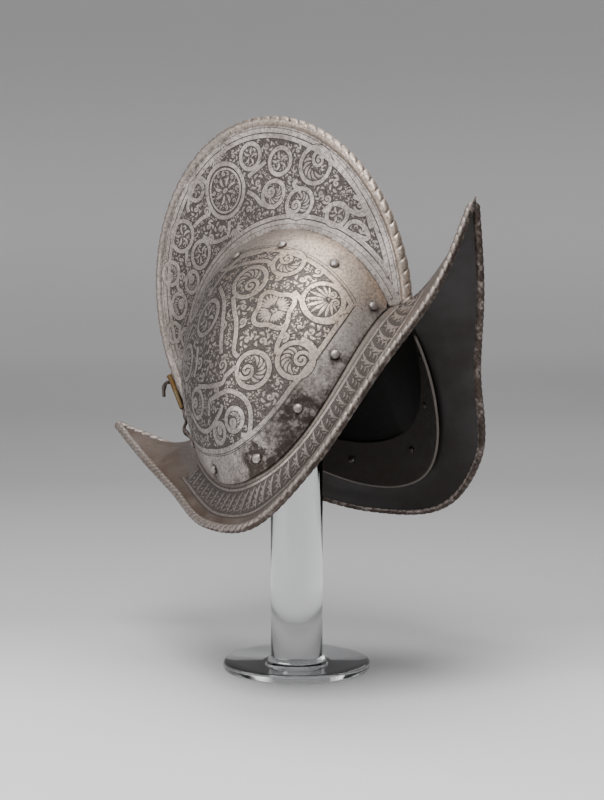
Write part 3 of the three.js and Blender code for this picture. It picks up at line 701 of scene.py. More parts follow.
class Panel:
    """One etched surface. Its ornament is gathered as strips and then built in one mesh for each kind."""

    def __init__(self, place, up, seed):
        self.place = place
        self.up = up
        self.random = np.random.RandomState(seed)
        self.straps = []
        self.leaves = []
        self.lines = []
        self.solid = []
        self.asked = []

    def normal(self, uv):
        step = 1e-3
        u, v = uv[:, 0], uv[:, 1]
        along = self.place(u + step, v) - self.place(u - step, v)
        across = self.place(u, v + step) - self.place(u, v - step)
        normal = unit(np.cross(along, across))
        middle = self.place(u, v)
        return normal * np.sign(normal[:, 1:2] * middle[:, 1:2] + 1e-9)

    def around(self, centre, local):
        """Panel coordinates of points in metres round their centres, x to the front and y to the crown."""
        step = 1e-4
        origin = self.place(centre[:, 0], centre[:, 1])
        ahead = -unit(self.place(centre[:, 0] + step, centre[:, 1]) - origin)
        crown = self.up * (self.place(centre[:, 0], centre[:, 1] + step) - origin)
        crown = unit(crown - ahead * (crown * ahead).sum(1, keepdims=True))
        target = origin + local[:, :1] * ahead + local[:, 1:] * crown
        uv = centre.copy()
        for _ in range(4):
            here = self.place(uv[:, 0], uv[:, 1])
            du = (self.place(uv[:, 0] + step, uv[:, 1]) - here) / step
            dv = (self.place(uv[:, 0], uv[:, 1] + step) - here) / step
            miss = target - here
            a, b, c = (du * du).sum(1), (du * dv).sum(1), (dv * dv).sum(1)
            e, f = (du * miss).sum(1), (dv * miss).sum(1)
            room = np.maximum(a * c - b * b, 1e-18)
            uv[:, 0] += np.clip((c * e - b * f) / room, -0.1, 0.1)
            uv[:, 1] += np.clip((a * f - b * e) / room, -0.1, 0.1)
            uv = np.clip(uv, 0.004, 0.996)
        return uv

    def add(self, kind, points, normals, half, keep):
        side = unit(np.cross(normals, np.gradient(points, axis=0)))
        kind.append((points, normals, side, half))
        if keep:
            self.solid.append(np.column_stack([points, half]))

    def lay(self, kind, uv, half, keep=True):
        """Adds a strip along panel coordinates. half is its half width, for all or for each point."""
        uv = np.asarray(uv, float)
        half = np.broadcast_to(half, len(uv)).astype(float)
        self.add(kind, self.place(uv[:, 0], uv[:, 1]), self.normal(uv), half, keep)

    def draw(self, kind, centre, local, half, keep=True):
        """Asks for a strip through points in metres round a centre, which settle() places."""
        self.asked.append((kind, centre, local, np.broadcast_to(half, len(local)).astype(float), keep))

    def settle(self):
        """Places all the strips asked for so far, together."""
        sizes = [len(local) for _, _, local, _, _ in self.asked]
        centres = np.repeat(np.array([centre for _, centre, _, _, _ in self.asked], float), sizes, axis=0)
        uv = self.around(centres, np.vstack([local for _, _, local, _, _ in self.asked]))
        points, normals = self.place(uv[:, 0], uv[:, 1]), self.normal(uv)
        for (kind, _, _, half, keep), end, size in zip(self.asked, np.cumsum(sizes), sizes):
            self.add(kind, points[end - size:end], normals[end - size:end], half, keep)
        self.asked = []

    def strap(self, knots, half, step=0.0012):
        """A strap along a smooth curve through panel coordinates."""
        uv = through(knots, 12)
        points = self.place(uv[:, 0], uv[:, 1])
        run = run_of(points)
        at = np.linspace(0, run[-1], max(4, int(run[-1] / step)))
        self.lay(self.straps, np.column_stack([np.interp(at, run, uv[:, k]) for k in range(2)]), half)

    def ring(self, centre, radius, half, squeeze=1.0, count=44):
        angle = np.linspace(0, 2 * math.pi, count)
        local = radius * np.column_stack([squeeze * np.cos(angle), np.sin(angle)])
        self.draw(self.straps, centre, local, half)

    def curl(self, centre, offset, radius, start, turns, half, kind=None, count=34, keep=True):
        """A spiral that winds inwards round an offset and ends in a small ball."""
        part = np.linspace(0, 1, count)
        angle = start + turns * 2 * math.pi * part
        reach = radius * (1 - 0.84 * part ** 0.8)
        local = offset + np.column_stack([reach * np.cos(angle), reach * np.sin(angle)])
        self.draw(self.straps if kind is None else kind, centre, local, half * (1 - 0.4 * part), keep)
        self.dot(centre, local[-1], 0.16 * radius + 0.4 * half, keep)

    def dot(self, centre, offset, radius, keep=True):
        along = np.linspace(-1, 1, 7)
        local = np.column_stack([offset[0] + radius * along, np.full(7, offset[1])])
        self.draw(self.leaves, centre, local, radius * np.sqrt(np.maximum(1 - along ** 2, 0.02)), keep)

    def leaf(self, centre, root, tip, bend, half, count=7, keep=False):
        """A tapered leaf from root to tip, bent to one side."""
        part = np.linspace(0, 1, count)
        root, tip = np.asarray(root, float), np.asarray(tip, float)
        span = tip - root
        side = np.array((-span[1], span[0]))
        local = root + part[:, None] * span + (bend * np.sin(part * math.pi))[:, None] * side
        width = half * (0.16 + np.sin(np.clip(part * 1.06, 0, 1) * math.pi) ** 0.8 * (0.55 + 0.45 * part))
        self.draw(self.leaves, centre, local, width, keep)

    def fan(self, centre, offset, radius, facing, opening, count, half):
        """A shell: petals that spread from a hub."""
        for k in range(count):
            ray = polar(1, facing + opening * (k / (count - 1) - 0.5))
            self.leaf(centre, offset + 0.22 * radius * ray, offset + radius * ray, 0.0, half, 6, True)

    def rosette(self, centre, radius, petals, half):
        for k in range(petals):
            ray = polar(1, 2 * math.pi * k / petals)
            self.leaf(centre, ray * 0.3 * radius, ray * radius, 0.12, half, 7, True)
        self.dot(centre, (0, 0), 0.22 * radius)

    def sprig(self, centre, radius):
        """A small scroll with leaves that fills a bare place of the ground."""
        spin = self.random.uniform(0, 2 * math.pi)
        hand = self.random.choice((-1, 1))
        if radius < 0.0014:
            ray = polar(0.95 * radius, spin)
            self.leaf(centre, -ray, ray, 0.3 * hand, 0.5 * radius, 6)
            return
        if radius < 0.0026:
            for k in range(3):
                turn = spin + hand * 1.25 * k
                self.leaf(centre, polar(0.5 * radius, turn + 2.6 * hand), polar(1.05 * radius, turn),
                          0.25 * hand, 0.27 * radius, 6)
            return
        self.curl(centre, polar(0.12 * radius, spin), 0.5 * radius, spin, 1.1 * hand, 0.17 * radius,
                  self.leaves, 14, False)
        for k in range(5):
            turn = spin + hand * (0.1 + 1.02 * k)
            size = 1.03 - 0.05 * k
            self.leaf(centre, polar(0.6 * radius, turn), polar(size * radius, turn + 0.85 * hand),
                      -0.22 * hand, 0.21 * radius, 6)

    def fill(self, inside, tries, largest=0.0062, smallest=0.0007, clear=0.0001):
        """Packs sprigs between the straps. inside(u, v) says where the ground is."""
        self.settle()
        taken = np.vstack(self.solid)
        spots = self.random.uniform(0, 1, (tries, 2))
        spots = spots[inside(spots[:, 0], spots[:, 1])]
        centres = self.place(spots[:, 0], spots[:, 1])
        room = np.full(len(centres), 1.0)
        for begin in range(0, len(centres), 500):
            part = centres[begin:begin + 500]
            far = np.linalg.norm(part[:, None] - taken[None, :, :3], axis=2) - taken[None, :, 3]
            room[begin:begin + 500] = far.min(1) - clear
        order = [k for k in np.argsort(-np.minimum(room, largest), kind="stable") if room[k] > smallest]
        kept = np.empty((0, 4))
        for k in order:
            radius = min(room[k], largest)
            if len(kept):
                radius = min(radius, (np.linalg.norm(kept[:, :3] - centres[k], axis=1) - kept[:, 3]).min())
            if radius < smallest:
                continue
            kept = np.vstack([kept, [*centres[k], radius]])
            self.sprig(spots[k], radius)


def polar(radius, angle):
    return radius * np.array((math.cos(angle), math.sin(angle)))


def through(knots, steps):
    """A smooth curve through points of the plane."""
    knots = np.asarray(knots, float)
    padded = np.vstack([2 * knots[0] - knots[1], knots, 2 * knots[-1] - knots[-2]])
    part = np.linspace(0, 1, steps, endpoint=False)[:, None]
    drawn = []
    for a, b, c, d in zip(padded, padded[1:], padded[2:], padded[3:]):
        drawn.append(0.5 * (2 * b + (c - a) * part + (2 * a - 5 * b + 4 * c - d) * part ** 2
                            + (3 * b - a - 3 * c + d) * part ** 3))
    return np.vstack([*drawn, knots[-1:]])


def strips_mesh(form, strips, profile):
    """All strips of one kind in one mesh. profile is (share of the half width, height) across one."""
    counts = [len(strip[0]) for strip in strips]
    ends = np.cumsum(counts)
    mesh = grid_mesh(int(ends[-1]), len(profile), ends[:-1] - 1)
    place = flat_places(mesh)
    column = np.rint(place[:, 0] * (ends[-1] - 1)).astype(int)
    row = np.rint(place[:, 1] * (len(profile) - 1)).astype(int)
    points, normals, side = (np.vstack([strip[k] for strip in strips]) for k in range(3))
    half = np.concatenate([strip[3] for strip in strips])
    across = np.array([part for part, _ in profile])[row]
    lift = np.array([height for _, height in profile])[row]
    local = (points[column] + side[column] * (across * half[column])[:, None]
             + normals[column] * lift[:, None])
    put(mesh, form.world(local), normals[column] @ form.turn.T)
    return mesh, local


# Profiles across a strip: share of its half width, and height over the sheet
STRAP_PROFILE = ((-1, 0.00002), (-0.9, 0.0001), (0.9, 0.0001), (1, 0.00002))
LEAF_PROFILE = ((-1, -0.00002), (0, 0.00007), (1, -0.00002))
LINE_PROFILE = ((-1, 0.00003), (1, 0.00003))

# How far a strap's dark outline shows on either side of it
OUTLINE = 0.0005


# Ornament of the bowl. Roundels: share, down, radius, filling, direction in turns. Curls: share, down
# and radius. Straps: share and down of the points that each runs through.
BOWL_ROUNDELS = (
    (0.197, 0.689, 0.0142, "shell", 0.5), (0.289, 0.866, 0.0124, "curl", 0.9),
    (0.4, 0.819, 0.0124, "curl", 0.45), (0.299, 0.425, 0.0112, "curl", 0.3),
    (0.398, 0.5, 0.013, "curl", 0.8), (0.59, 0.915, 0.0068, "curl", 0.1),
    (0.664, 0.816, 0.01, "curl", 0.4), (0.56, 0.56, 0.013, "leaf", 0.2),
    (0.69, 0.64, 0.012, "shell", 0.9), (0.64, 0.38, 0.0118, "curl", 0.7),
    (0.79, 0.76, 0.0092, "curl", 0.2), (0.5, 0.3, 0.0082, "leaf", 0.0),
    (0.51, 0.905, 0.0078, "curl", 0.6), (0.77, 0.52, 0.008, "leaf", 0.6),
)
BOWL_CURLS = (
    (0.412, 0.662, 0.0036), (0.316, 0.508, 0.0034), (0.303, 0.775, 0.0036), (0.505, 0.765, 0.0052),
    (0.556, 0.816, 0.0036), (0.215, 0.48, 0.0042), (0.48, 0.64, 0.004), (0.61, 0.7, 0.0046),
    (0.72, 0.73, 0.004), (0.56, 0.42, 0.004),
)
BOWL_STRAPS = (
    ((0.445, 0.545), (0.439, 0.602), (0.432, 0.652), (0.436, 0.7), (0.447, 0.742), (0.436, 0.766)),
    ((0.449, 0.789), (0.497, 0.8), (0.525, 0.81), (0.586, 0.793), (0.638, 0.77)),
    ((0.719, 0.836), (0.691, 0.886), (0.64, 0.9), (0.568, 0.876), (0.543, 0.86)),
    ((0.616, 0.866), (0.596, 0.833), (0.551, 0.832), (0.493, 0.839), (0.453, 0.863), (0.436, 0.893),
     (0.439, 0.92), (0.462, 0.945), (0.492, 0.94)),
    ((0.271, 0.602), (0.253, 0.652), (0.243, 0.706), (0.225, 0.766), (0.19, 0.815), (0.16, 0.83)),
    ((0.293, 0.736), (0.309, 0.766), (0.324, 0.79), (0.33, 0.815)),
    ((0.263, 0.815), (0.245, 0.85), (0.235, 0.893)),
    ((0.499, 0.371), (0.424, 0.385), (0.36, 0.405), (0.345, 0.44)),
    ((0.33, 0.3), (0.4, 0.33), (0.455, 0.33), (0.52, 0.4), (0.56, 0.455)),
    ((0.61, 0.64), (0.63, 0.7), (0.65, 0.73)), ((0.74, 0.56), (0.7, 0.54), (0.64, 0.5)),
    ((0.74, 0.7), (0.77, 0.71), (0.8, 0.69)), ((0.512, 0.455), (0.48, 0.54), (0.48, 0.62), (0.5, 0.73)),
)

# The same for the comb, with the share of the way up in place of down
COMB_ROUNDELS = (
    (0.38, 0.632, 0.0096, "leaf", 0.0), (0.404, 0.338, 0.0096, "curl", 0.4),
    (0.297, 0.672, 0.013, "curl", 0.2), (0.334, 0.251, 0.0108, "curl", 0.6),
    (0.447, 0.72, 0.0092, "leaf", 0.5), (0.666, 0.7, 0.0112, "leaf", 0.2),
    (0.642, 0.334, 0.01, "leaf", 0.7), (0.738, 0.74, 0.0084, "curl", 0.4),
    (0.7, 0.3, 0.0078, "curl", 0.1), (0.77, 0.48, 0.009, "curl", 0.8),
    (0.83, 0.64, 0.0072, "leaf", 0.2), (0.812, 0.25, 0.0062, "curl", 0.5),
    (0.231, 0.29, 0.0082, "leaf", 0.9), (0.875, 0.42, 0.006, "leaf", 0.4),
    (0.59, 0.8, 0.007, "leaf", 0.3),
)
COMB_CURLS = (
    (0.18, 0.62, 0.0048), (0.262, 0.39, 0.0036), (0.6, 0.33, 0.004), (0.585, 0.56, 0.0042),
    (0.5, 0.9, 0.0036), (0.155, 0.42, 0.0036), (0.72, 0.52, 0.004), (0.86, 0.56, 0.0034),
)
COMB_STRAPS = (
    ((0.461, 0.555), (0.432, 0.6), (0.414, 0.64)),
    ((0.47, 0.43), (0.45, 0.351), (0.436, 0.27), (0.4, 0.215)),
    ((0.56, 0.74), (0.575, 0.86), (0.62, 0.8), (0.626, 0.749)),
    ((0.58, 0.508), (0.602, 0.56), (0.63, 0.6)),
    ((0.618, 0.43), (0.6, 0.298), (0.58, 0.23), (0.549, 0.18)),
    ((0.535, 0.294), (0.539, 0.24), (0.549, 0.18)),
    ((0.269, 0.237), (0.241, 0.39), (0.195, 0.458), (0.176, 0.52), (0.164, 0.62), (0.18, 0.69),
     (0.2, 0.64)), ((0.253, 0.843), (0.225, 0.8), (0.191, 0.74), (0.164, 0.66), (0.14, 0.54)),
    ((0.205, 0.17), (0.19, 0.344), (0.162, 0.44), (0.138, 0.4), (0.15, 0.3), (0.18, 0.221)),
    ((0.34, 0.47), (0.35, 0.42), (0.33, 0.37)), ((0.672, 0.56), (0.69, 0.5), (0.68, 0.42)),
    ((0.73, 0.6), (0.745, 0.56), (0.74, 0.44)), ((0.8, 0.42), (0.83, 0.48), (0.84, 0.54)),
)
MEDALLION = (0.525, 0.562)


def dress_roundel(panel, share, other, radius, filling, direction, half):
    """A round strap and what lies inside it."""
    centre = (share, other)
    facing = 2 * math.pi * direction
    panel.ring(centre, radius, half)
    inner = radius - half
    if filling == "shell":
        hub = polar(0.42 * inner, facing + math.pi)
        for k in range(11):
            turn = facing + math.pi * 1.12 * (k / 10 - 0.5)
            ray = polar(1, turn)
            reach = -hub.dot(ray) + math.sqrt(max(hub.dot(ray) ** 2 + inner ** 2 - hub.dot(hub), 0))
            panel.leaf(centre, hub + 0.2 * reach * ray, hub + 0.95 * reach * ray, 0.0, 0.085 * reach, 7, True)
        for hand in (-1, 1):
            panel.curl(centre, hub + polar(0.36 * inner, facing + 0.72 * math.pi * hand), 0.26 * inner,
                       facing, -1.3 * hand, 0.0008, count=22)
    elif filling == "curl":
        panel.curl(centre, polar(0.4 * inner, facing), 0.6 * inner, facing, 1.45, 0.0014)
        for k in range(6):
            turn = facing + math.pi - 1.35 + 0.5 * k
            panel.leaf(centre, polar(0.4 * inner, turn - 0.5), polar(0.92 * inner, turn + 0.25), -0.2,
                       0.12 * inner, 8, True)
    else:
        for k in range(5):
            turn = facing + 0.4 * math.pi * k
            panel.leaf(centre, polar(0.16 * inner, turn), polar(0.9 * inner, turn + 0.55), 0.2,
                       0.15 * inner, 8, True)


# ---------- Operators

class MORION_OT_plates(bpy.types.Operator):
    """Two bowl plates with walls and rounded edges"""

    bl_idname = "morion.plates"
    bl_label = "Bowl Plates"

    def execute(self, context):
        form = helmet()
        material = steel_material("etched plate steel", context.scene.morion_finish, ground=True)
        for side, sign in SIDES:
            mesh = grid_mesh(170, 120)
            place = flat_places(mesh)
            share, down = mix(*PLATE_ENDS, place[:, 0]), place[:, 1]
            local = form.bowl(share, down, sign)
            put(mesh, form.world(local), form.bowl_normal(share, down, sign) @ form.turn.T)
            top, bottom = bowl_panel_edges(form, share, 0.0034)
            etched = (down > top) & (down < bottom) & (share > 0.104) & (share < 0.9)
            seam = np.exp(-down / 0.03)
            lip = np.exp(-(1 - down) / 0.012)
            # Patina and painted shade: the plain band just above the throat, round the middle of the plate,
            # darkens towards the patina colour. This stands partly for brown patina patches and partly for
            # the shade on this lower, downward-facing part.
            band = np.exp(-((share - 0.38) / 0.22) ** 2) * smooth(0.84, 0.95, down)
            # Darker towards the comb's root, from the middle of the plate rearwards.
            crown = smooth(0.3, 0.5, share) * np.exp(-down / 0.18)
            rings = near_rivets(form, local, 0.0068)
            stain = 0.85 * rings + 0.55 * seam + 0.3 * lip + 0.6 * band + 0.35 * crown
            spread(mesh, etched=etched, stain=np.minimum(stain, 1),
                   warmth=smooth(0.6, 0.2, share) * smooth(1.0, 0.6, down), rusting=0.25 * lip)
            # The plates' inner faces get the dark inside steel, partly painted shade.
            piece(f"bowl_plate_{side}", mesh, material, (f"bowl_{side}",),
                  wall=form.plate_wall, bevel=0.0003, inside=inner_material("bowl lining steel", 0.014))
        return {"FINISHED"}


# How far the bowl's panel stays away from the comb's root
BOWL_MARGIN = 0.0198


def bowl_panel_edges(form, share, inset=0.0):
    """Upper and lower edge of the bowl's panel at a share, drawn in by an inset."""
    height = np.interp(share, (0.1, 0.15, 0.32, 0.45, 0.65, 0.82, 0.9), (22, 22, 27, 23, 20, 11, 9)) * MM
    return form.down_from_root(share, BOWL_MARGIN + inset), form.down_from_throat(share, height + inset)


class MORION_OT_plate_etching(bpy.types.Operator):
    """Straps, shells, curls and leaves etched on the bowl plates"""

    bl_idname = "morion.plate_etching"
    bl_label = "Bowl Etching"

    def execute(self, context):
        form = helmet()
        finish = context.scene.morion_finish
        half = 0.0017
        for side, sign in SIDES:
            panel = Panel(lambda share, down, sign=sign: form.bowl(share, down, sign), -1, finish.seed)
            along = np.linspace(0.109, 0.885, 170)
            for inset, width, kind in ((0.0, 0.00024, panel.lines), (0.0013, 0.0002, panel.lines),
                                       (0.0034, half, panel.straps)):
                share = along + inset * 1.2
                edges = bowl_panel_edges(form, share, inset)
                open_there = edges[0] < edges[1]
                for edge in edges:
                    line = np.column_stack([share, edge])[open_there]
                    panel.lay(kind, line, width, kind is panel.straps)
            for row in BOWL_ROUNDELS:
                dress_roundel(panel, *row, half)
            for share, down, radius in BOWL_CURLS:
                panel.curl((share, down), (0, 0), radius, 4.0, 1.3, 0.0011, count=22)
            for knots in BOWL_STRAPS:
                panel.strap(knots, half)
            lobed(panel, (0.324, 0.659), 0.0138, half)
            panel.fill(lambda u, v: ground_of_bowl(form, u, v), 9000)
            dress(form, panel, f"bowl_{side}", finish, bowl_tone)
        return {"FINISHED"}


def lobed(panel, centre, radius, half):
    """A four-lobed strap round a cluster of shells."""
    angle = np.linspace(0, 2 * math.pi, 90)
    reach = radius * (1 + 0.15 * np.cos(4 * (angle - 0.25)))
    local = np.column_stack([reach * np.cos(angle), reach * np.sin(angle)])
    panel.draw(panel.straps, centre, local, half)
    for k, size in enumerate((0.74, 0.86, 0.74, 0.62)):
        turn = 0.25 + k * math.pi / 2
        panel.fan(centre, polar(0.1 * radius, turn), size * radius, turn, 1.5, 7, 0.0011)


def ground_of_bowl(form, share, down):
    """Where sprigs may stand on the bowl."""
    top, bottom = bowl_panel_edges(form, share, 0.0052)
    return (share > 0.115) & (share < 0.88) & (down > top) & (down < bottom)


def bowl_tone(form, local):
    """Stain and warmth of the ornament on the bowl."""
    warm = smooth(-0.02, 0.06, local[:, 0]) * smooth(0.02, 0.09, local[:, 2])
    return 0.9 * near_rivets(form, local, 0.0078), warm


def comb_rear(local):
    """How far points lie towards the top and rear of the comb, from 0 to 1."""
    return smooth(0.2, 0.26, local[:, 2]) * smooth(0.03, -0.03, local[:, 0])


def comb_tone(form, local):
    return 0.25 * comb_rear(local), 0.1


def brim_tone(form, local):
    return 0.0, 0.15


def dress(form, panel, name, finish, tone, steel_name="etched relief steel", bright=0.94):
    """Builds a panel's gathered strips as pieces."""
    panel.settle()
    steel = steel_material(steel_name, finish, bright=bright, bump=0.12)
    dark = engraved_material(finish)
    outlines = [(points, normals, side, half + OUTLINE) for points, normals, side, half in panel.straps]
    for kind, strips, profile, material in (
            ("straps", panel.straps, STRAP_PROFILE, steel), ("leaves", panel.leaves, LEAF_PROFILE, steel),
            ("outlines", outlines, LINE_PROFILE, dark), ("lines", panel.lines, LINE_PROFILE, dark)):
        if not strips:
            continue
        mesh, local = strips_mesh(form, strips, profile)
        stain, warm = tone(form, local)
        spread(mesh, stain=stain, warmth=warm, rusting=0.0)
        obj = piece(f"{name}_{kind}", mesh, material)
        if kind == "straps":
            obj.data.shade_flat()


class MORION_OT_comb(bpy.types.Operator):
    """Hollow comb with the flanges that lie under the bowl plates"""

    bl_idname = "morion.comb"
    bl_label = "Comb"

    def execute(self, context):
        form = helmet()
        material = steel_material("etched comb steel", context.scene.morion_finish, ground=True)
        mesh = grid_mesh(230, 121)
        place = flat_places(mesh)
        share = mix(-0.035, 1.035, place[:, 0])
        across = 2 * place[:, 1] - 1
        sign = np.where(across < 0, -1.0, 1.0)
        level = 1 - np.abs(across)
        flange_part = 0.2
        inside = np.clip(share, *PLATE_ENDS)
        height = form.comb_height(share)
        bend = -form.under_plate / height
        step = mix(bend, 1, np.clip((level - flange_part) / (1 - flange_part), 0, 1))
        wall = form.comb(share, step, sign)
        fade = smooth(0.09, 0.16, np.minimum(share, 1 - share))
        down = form.down_from_root(inside, form.flange_width, 0.6) * (1 - level / flange_part)
        flange = form.under_bowl(inside, np.maximum(down, 0.02), sign, form.under_plate)
        foot = form.comb(share, bend - 2 * form.comb_wall / height, sign)
        low = mix(foot, flange, fade[:, None])
        local = np.where((level < flange_part)[:, None], low, wall)
        local = self.stand_on_brim(form, local)
        outside = np.column_stack([0.2 * local[:, 0], sign * 0.2, np.abs(local[:, 2]) * 0.1])
        put(mesh, form.world(local), outside @ form.turn.T)
        rise = step * height
        to_root, to_crest = comb_distances(form, share, step)
        etched = (to_root > ROOT_LINE + 0.002) & (to_crest > CREST_LINE + 0.002) & (level > flange_part)
        root = np.exp(-np.maximum(rise, 0) / 0.0025)
        crest = np.exp(-(height - rise - form.comb_rope) ** 2 / (2 * 0.0009 ** 2))
        stain = 0.6 * root + 0.5 * crest + 0.3 * comb_rear(local)
        spread(mesh, etched=etched, stain=stain, warmth=0.12, rusting=0.25 * root)
        # The comb's inner face gets the same dark inside steel, partly painted shade.
        piece("comb_shell", mesh, material, ("comb",), wall=form.comb_wall,
              inside=inner_material("bowl lining steel", 0.014))
        return {"FINISHED"}

    def stand_on_brim(self, form, local):
        """Lifts what would sink into the brim at the comb's two feet."""
        turn = np.concatenate([np.linspace(0, 0.05, 26), np.linspace(0.95, 1, 26)])
        turns, outs = np.meshgrid(turn, np.linspace(0, 0.5, 200), indexing="ij")
        brim = form.brim(turns.ravel(), outs.ravel(), 1)
        feet = np.abs(local[:, 0]) > 0.085
        lifted = local.copy()
        for k in np.nonzero(feet)[0]:
            far = (brim[:, 0] - local[k, 0]) ** 2 + (brim[:, 1] - abs(local[k, 1])) ** 2
            floor = brim[np.argmin(far)]
            if far.min() < 4e-6:
                lifted[k, 2] = max(local[k, 2], floor[2] + 0.0001)
        return lifted


# How far the comb's panel stays away from its root and from the end of its sheet under the rope
ROOT_LINE = 0.0074
CREST_LINE = 0.0082


def comb_distances(form, share, step):
    """Distances of points on the comb from its root and from its crest, seen from the side."""
    flat = form.comb(np.asarray(share), np.asarray(step), 1)[..., (0, 2)].reshape(-1, 2)
    places = np.linspace(-0.05, 1.05, 240)
    nearest = []
    for line in (form.root(places, 1), form.crest(places, form.comb_rope)):
        ends = line[:, (0, 2)]
        found = np.empty(len(flat))
        for begin in range(0, len(flat), 4000):
            part = flat[begin:begin + 4000]
            found[begin:begin + 4000] = np.sqrt(((part[:, None] - ends[None]) ** 2).sum(2).min(1))
        nearest.append(found)
    return nearest


def comb_panel_lines(form, inset):
    """Panel coordinates of the lines that stay an inset inside the panel's two edges."""
    share = np.linspace(0.01, 0.99, 240)
    steps = np.linspace(0, 1, 61)
    grid = np.meshgrid(share, steps, indexing="ij")
    distances = comb_distances(form, grid[0].ravel(), grid[1].ravel())
    to_root, to_crest = (far.reshape(grid[0].shape) for far in distances)
    low = np.array([np.interp(ROOT_LINE + inset, row, steps) for row in to_root])
    high = np.array([np.interp(CREST_LINE + inset, row[::-1], steps[::-1]) for row in to_crest])
    clear = low < high
    return [np.column_stack([share[clear], line[clear]]) for line in (low, high)]


class MORION_OT_comb_etching(bpy.types.Operator):
    """Straps, a medallion, curls and leaves etched on both faces of the comb"""

    bl_idname = "morion.comb_etching"
    bl_label = "Comb Etching"

    def execute(self, context):
        form = helmet()
        finish = context.scene.morion_finish
        half = 0.0016
        for side, sign in SIDES:
            panel = Panel(lambda share, step, sign=sign: form.comb(share, step, sign), 1, finish.seed + 1)
            for offset, width, kind in ((0.0, 0.00022, panel.lines), (0.0021, half, panel.straps)):
                for line in comb_panel_lines(form, offset):
                    panel.lay(kind, line, width, kind is panel.straps)
            for line in comb_panel_lines(form, -0.0036):
                panel.lay(panel.lines, line, 0.0002, False)
            for row in COMB_ROUNDELS:
                dress_roundel(panel, *row, half)
            for radius, width in ((0.0205, half), (0.0165, 0.0008)):
                panel.ring(MEDALLION, radius, width, 0.88, 64)
            panel.rosette(MEDALLION, 0.0108, 8, 0.0016)
            for k in range(8):
                turn = 2 * math.pi * (k + 0.5) / 8
                offset = 0.0126 * np.array((0.88 * math.cos(turn), math.sin(turn)))
                panel.curl(MEDALLION, offset, 0.0021, turn, 1.1, 0.0006, count=14)
            for centre in ((0.523, 0.905), (0.522, 0.215)):
                panel.fan(centre, (0, 0), 0.0096, -0.5 * math.pi, 1.9, 7, 0.0011)
            for share, step, radius in COMB_CURLS:
                panel.curl((share, step), (0, 0), radius, 4.0, 1.3, 0.0010, count=22)
            for knots in COMB_STRAPS:
                panel.strap(knots, half)
            panel.fill(lambda u, v: ground_of_comb(form, u, v), 9000)
            dress(form, panel, f"comb_{side}", finish, comb_tone)
        return {"FINISHED"}


def ground_of_comb(form, share, step):
    """Where sprigs may stand on the comb."""
    to_root, to_crest = comb_distances(form, share, step)
    return (share > 0.03) & (share < 0.97) & (to_root > ROOT_LINE + 0.004) & (to_crest > CREST_LINE + 0.004)


def from_notch(along, around, pitch, turns):
    """How far a point of a rope is from the nearest slanting notch: 0 in it, 1 half way to the next."""
    phase = (along / pitch + turns * around) % 1
    return 2 * np.minimum(phase, 1 - phase)


# Where the brim's ropes start, so that they end inside the front peak
ROPE_START = 0.0085


class MORION_OT_ropes(bpy.types.Operator):
    """Roped crest of the comb and roped edge of the brim"""

    bl_idname = "morion.ropes"
    bl_label = "Roped Edges"

    def execute(self, context):
        form = helmet()
        steel = steel_material("rope steel", context.scene.morion_finish, bright=1.0, bump=0.14)
        share = np.linspace(-0.03, 1.03, 900)
        line = form.crest(share, form.comb_rope)
        outer = unit(line - form.crest(share, form.comb_rope + 0.01))
        self.rope("comb_rope", form, steel, line, form.comb_rope, form.comb_pitch, (0, 1, 0), -2, 28,
                  outer)
        for side, sign in SIDES:
            turn = np.linspace(ROPE_START, 1, 1100)
            line = form.brim_edge(turn, sign)
            self.rope(f"brim_rope_{side}", form, steel, line, form.brim_rope, form.brim_pitch,
                      (0, 0, 1), 2, 22)
        return {"FINISHED"}

    def strands(self, away):
        """Share of the radius at a distance from the nearest notch."""
        return 1 - 0.15 * np.exp(-(away / 0.17) ** 2) - 0.06 * (1 - away) ** 2

    def rope(self, name, form, steel, line, radius, pitch, across, turns, sides, filed=None):
        """A roped edge. Where filed is given, its notches are cut only on that side."""
        run = run_of(line)
        ends = np.minimum(run, run[-1] - run)
        radii = radius * np.sqrt(np.clip(ends / radius, 0.0004, 1))

        def facing(row, outward):
            if filed is None:
                return 1.0
            return smooth(0.1, 0.75, (outward @ form.turn * filed[row]).sum(1))

        def depth(row, around, outward):
            return 1 - facing(row, outward) * (1 - self.strands(from_notch(run[row], around, pitch, turns)))

        mesh, row, around, outward = tube(form.world(line), radii, sides, form.turn @ across, depth)
        notch = np.exp(-(from_notch(run[row], around, pitch, turns) / 0.14) ** 2)
        cut = facing(row, outward) * notch
        if filed is None:
            # Painted shade: where the brim ropes face down, they darken towards the patina colour.
            under = smooth(0.05, -0.45, (outward @ form.turn)[:, 2])
            spread(mesh, stain=np.minimum(0.7 * cut + 0.95 * under, 1), warmth=0.15, rusting=0.4 + 0.3 * cut)
        else:
            front = smooth(0.6, 0.35, run[row] / run[-1])
            spread(mesh, stain=0.7 * cut, warmth=0.15 + 0.65 * front, rusting=0.3 * (1 - front))
        weld(mesh, 2e-6)
        piece(name, mesh, steel)


